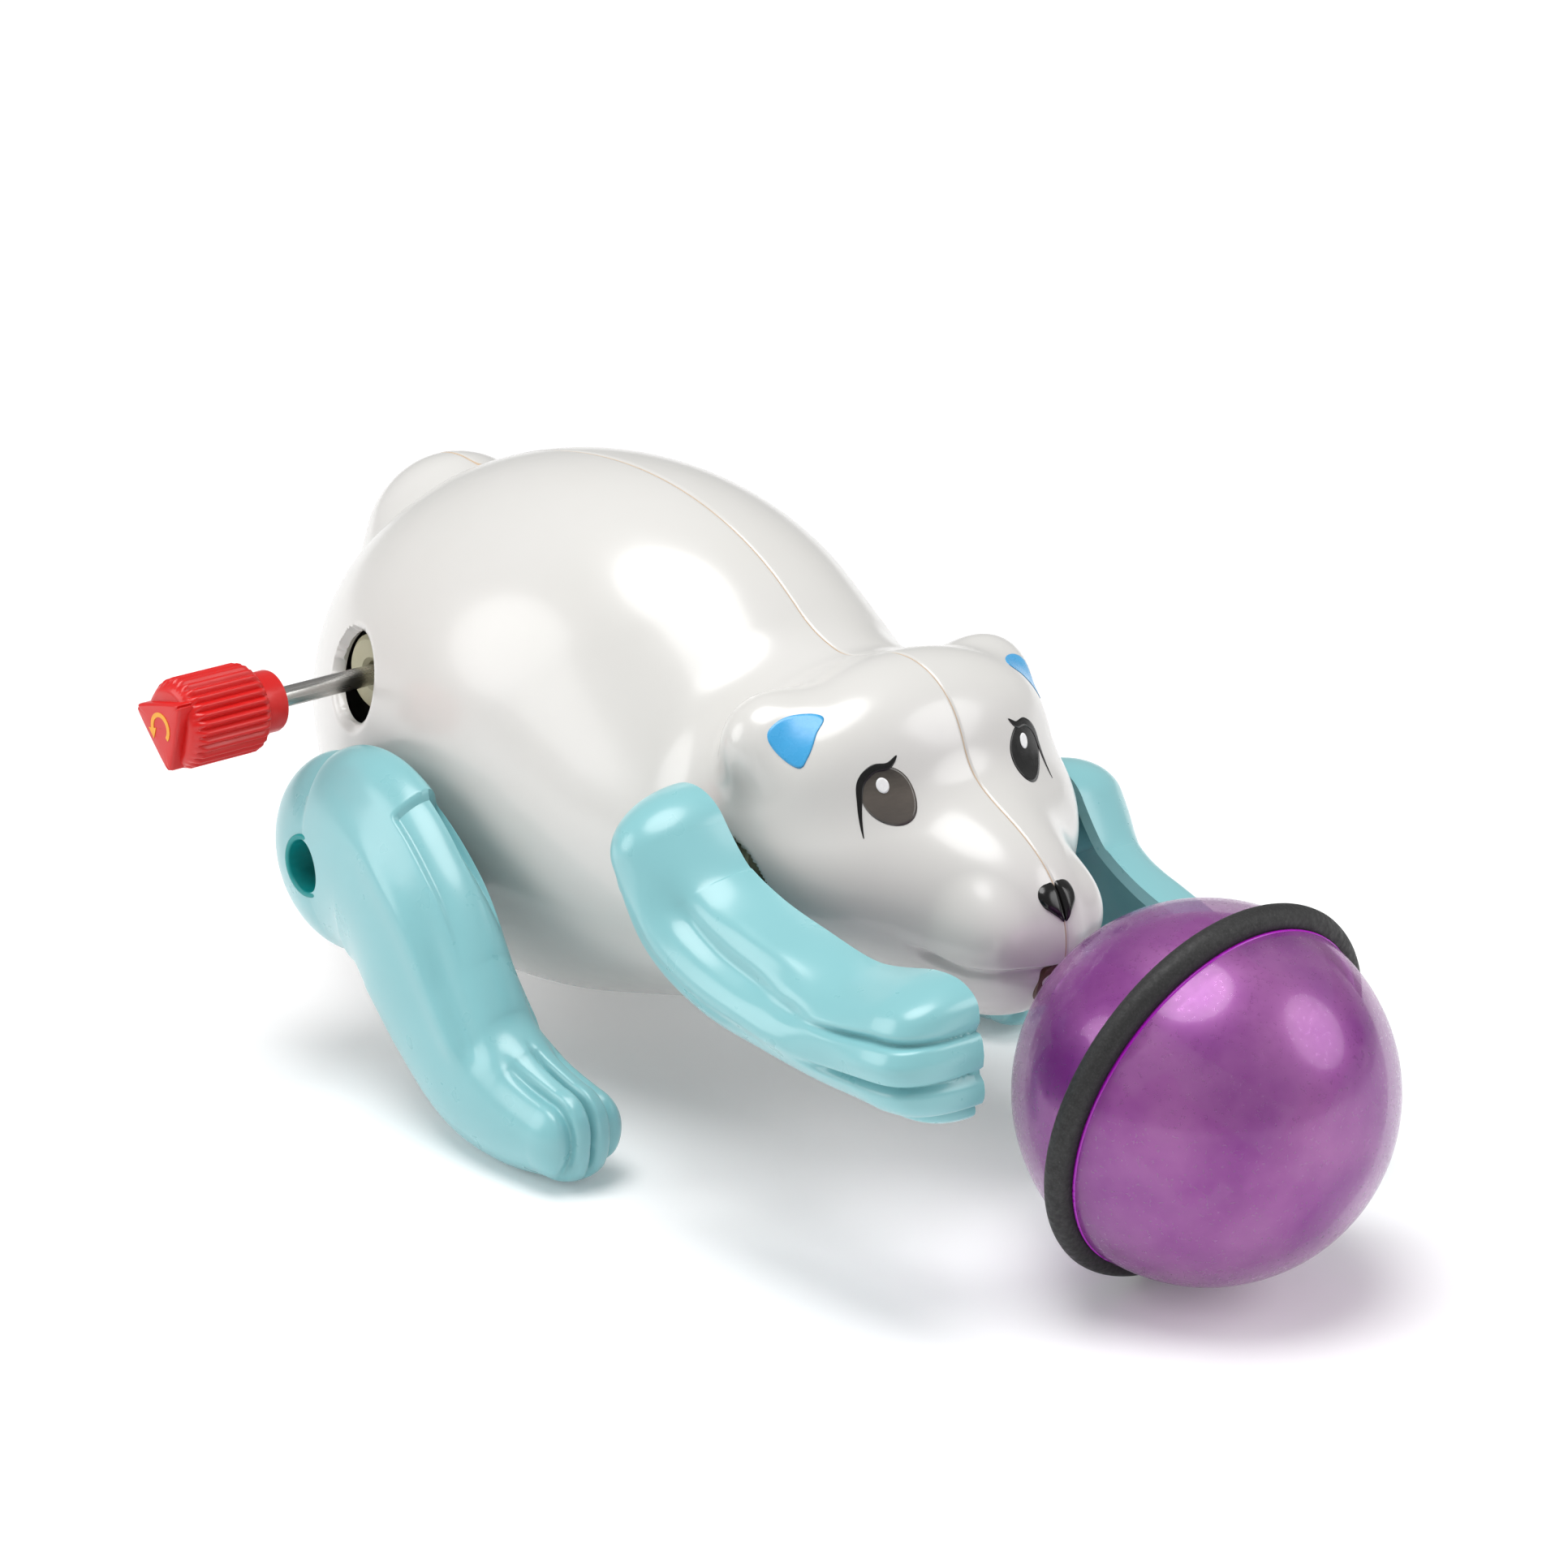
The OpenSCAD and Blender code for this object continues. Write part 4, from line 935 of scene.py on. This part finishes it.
def make_ball_inside():
    """Rim line beside the ring and the pegs that show through the ball."""
    profile = []
    for a in np.linspace(0, 2 * math.pi, 20):
        profile.append((BALL_R - 0.28 + 0.3 * math.cos(a), 1.35 + 0.22 * math.sin(a)))
    points, faces = lathe(profile, BALL_AT, BALL_AXIS, turns=200)
    mesh_piece("ball_rim_line", points, faces, "ball", MAGENTA)
    side = np.array([0, 1.0, 0])
    up = np.cross(BALL_AXIS, side)
    peg_end = math.sqrt((BALL_R - BALL_WALL) ** 2 - (PEG_CIRCLE + PEG_FOOT_R) ** 2) - 0.1
    for k, a in enumerate(np.radians([30, 150, 270])):
        at = BALL_AT + PEG_CIRCLE * (math.sin(a) * side - math.cos(a) * up)
        for half, sign in (("front", 1), ("rear", -1)):
            profile = rounded([(0.01, 0.1), (PEG_R, 0.1), (PEG_R, peg_end - 1.5),
                               (PEG_FOOT_R, peg_end - 0.5), (PEG_FOOT_R, peg_end), (0.01, peg_end)], 0.2)
            points, faces = lathe([(r, sign * l) for r, l in profile], at, BALL_AXIS, turns=40)
            mesh_piece("ball_peg_%s_%d" % (half, k + 1), points, faces, "ball", MAGENTA)


make_ball()
make_ring()
make_ball_inside()


def make_key_boss():
    """Bearing boss on the right plate, round the winding shaft, seen through the key hole."""
    plate_y = node_box("motor_plate_right")[0][1]
    at = np.array([ARBOR[0], plate_y, ARBOR[2]])
    profile = [(3.9, -0.2), (3.9, 6.5), (3.4, 7), (1.7, 7), (1.3, 6.6), (1.3, -0.2)]
    points, faces = lathe(profile, at, np.array([0, -1.0, 0]), side=(1, 0, 0))
    sharpen(mesh_piece("key_bearing_boss", points, faces, "body", OLIVE), 30)


make_key_boss()


# ---- CAD nodes that stay: better materials ----
KEPT = (
    (STEEL, "shell_screws plate_screws hip_screws plate_pillars winding_shaft click_rivet second_axle "
            "third_axle idler_axle escape_axle pallet_axle crank_axle ball_shaft"),
    (OLIVE, "motor_plate_right motor_plate_left crank_right crank_left"),
    (SPRING, "mainspring click"),
    (ACETAL, "great_wheel ratchet_wheel second_wheel third_wheel idler_gear escape_wheel pallet "
             "crank_gear crown_wheel ball_pinion shaft_bearing"),
    # The mouth bush is dark brown as painted shadow of the open mouth
    (MOUTH_SHADOW_BROWN, "mouth_bush"),
    (MAGENTA, "ball_hub"))
for material, nodes in KEPT:
    for node in nodes.split():
        for slot in NODES[node].material_slots:
            slot.material = material


# ---- Stage, light and camera ----
FLOOR_NEAR, FLOOR_FAR = 0.15, 0.6
GLOW_NEAR, GLOW_FAR = 0.12, 0.6
WORLD_STRENGTH = 0.32


def make_stage():
    """A wide pale floor that glows a little more away from the toy."""
    mesh = bpy.data.meshes.new("floor")
    size = 3.0
    corners = [(-size, -size, 0), (size, -size, 0), (size, size, 0), (-size, size, 0)]
    mesh.from_pydata(corners, [], [(0, 1, 2, 3)])
    floor = bpy.data.objects.new("floor", mesh)
    bpy.context.scene.collection.objects.link(floor)
    material, shader = principled("paper", (0.92, 0.92, 0.925), 0.9)
    link = material.node_tree.links.new
    link(ramp(material, noise(material, 40), [(0.3, (0.915, 0.915, 0.92)), (0.7, (0.925, 0.925, 0.93))]),
         shader.inputs["Base Color"])
    shader.inputs["Emission Color"].default_value = (1, 1, 1, 1)
    nodes = material.node_tree.nodes
    place = nodes.new("ShaderNodeNewGeometry")
    away = nodes.new("ShaderNodeVectorMath")
    away.operation = "LENGTH"
    link(place.outputs["Position"], away.inputs[0])
    glow = nodes.new("ShaderNodeMapRange")
    glow.inputs["From Min"].default_value = FLOOR_NEAR
    glow.inputs["From Max"].default_value = FLOOR_FAR
    glow.inputs["To Min"].default_value = GLOW_NEAR
    glow.inputs["To Max"].default_value = GLOW_FAR
    link(away.outputs["Value"], glow.inputs["Value"])
    link(glow.outputs["Result"], shader.inputs["Emission Strength"])
    mesh.materials.append(material)


def area_light(name, at, target, size, power, colour=(1, 1, 1)):
    light = bpy.data.lights.new(name, "AREA")
    light.shape = "DISK"
    light.size = size
    light.energy = power
    light.color = colour
    lamp = bpy.data.objects.new(name, light)
    lamp.location = at
    lamp.rotation_mode = "QUATERNION"
    lamp.rotation_quaternion = (Vector(target) - Vector(at)).to_track_quat("-Z", "Y")
    bpy.context.scene.collection.objects.link(lamp)


def make_light():
    world = bpy.data.worlds.new("studio")
    bpy.context.scene.world = world
    world.use_nodes = True
    sky = world.node_tree.nodes["Background"]
    sky.inputs["Color"].default_value = (1, 1, 1, 1)
    sky.inputs["Strength"].default_value = WORLD_STRENGTH
    bpy.context.scene.view_settings.view_transform = "Standard"
    middle = (0.035, 0, 0.03)
    area_light("top", (0.05, -0.1, 0.6), middle, 0.45, 3.1)
    area_light("left_fill", (0.45, 0.35, 0.35), middle, 0.4, 1.3)
    area_light("right_fill", (-0.3, -0.5, 0.3), middle, 0.4, 1.3)


VIEW_AZIMUTH, VIEW_ELEVATION = math.radians(48.7), math.radians(19.5)
VIEW_TARGET = Vector((0.0345, 0, 0.0312))
VIEW_DISTANCE = 0.432
LENS = 106.75


def make_camera():
    back = Vector((math.sin(VIEW_AZIMUTH) * math.cos(VIEW_ELEVATION),
                   -math.cos(VIEW_AZIMUTH) * math.cos(VIEW_ELEVATION), math.sin(VIEW_ELEVATION)))
    lens = bpy.data.cameras.new("camera")
    lens.lens = LENS
    lens.sensor_width = 36
    lens.clip_start, lens.clip_end = 0.01, 20
    camera = bpy.data.objects.new("camera", lens)
    camera.location = VIEW_TARGET + back * VIEW_DISTANCE
    camera.rotation_mode = "QUATERNION"
    camera.rotation_quaternion = (-back).to_track_quat("-Z", "Y")
    bpy.context.scene.collection.objects.link(camera)
    bpy.context.scene.camera = camera


make_stage()
make_light()
make_camera()
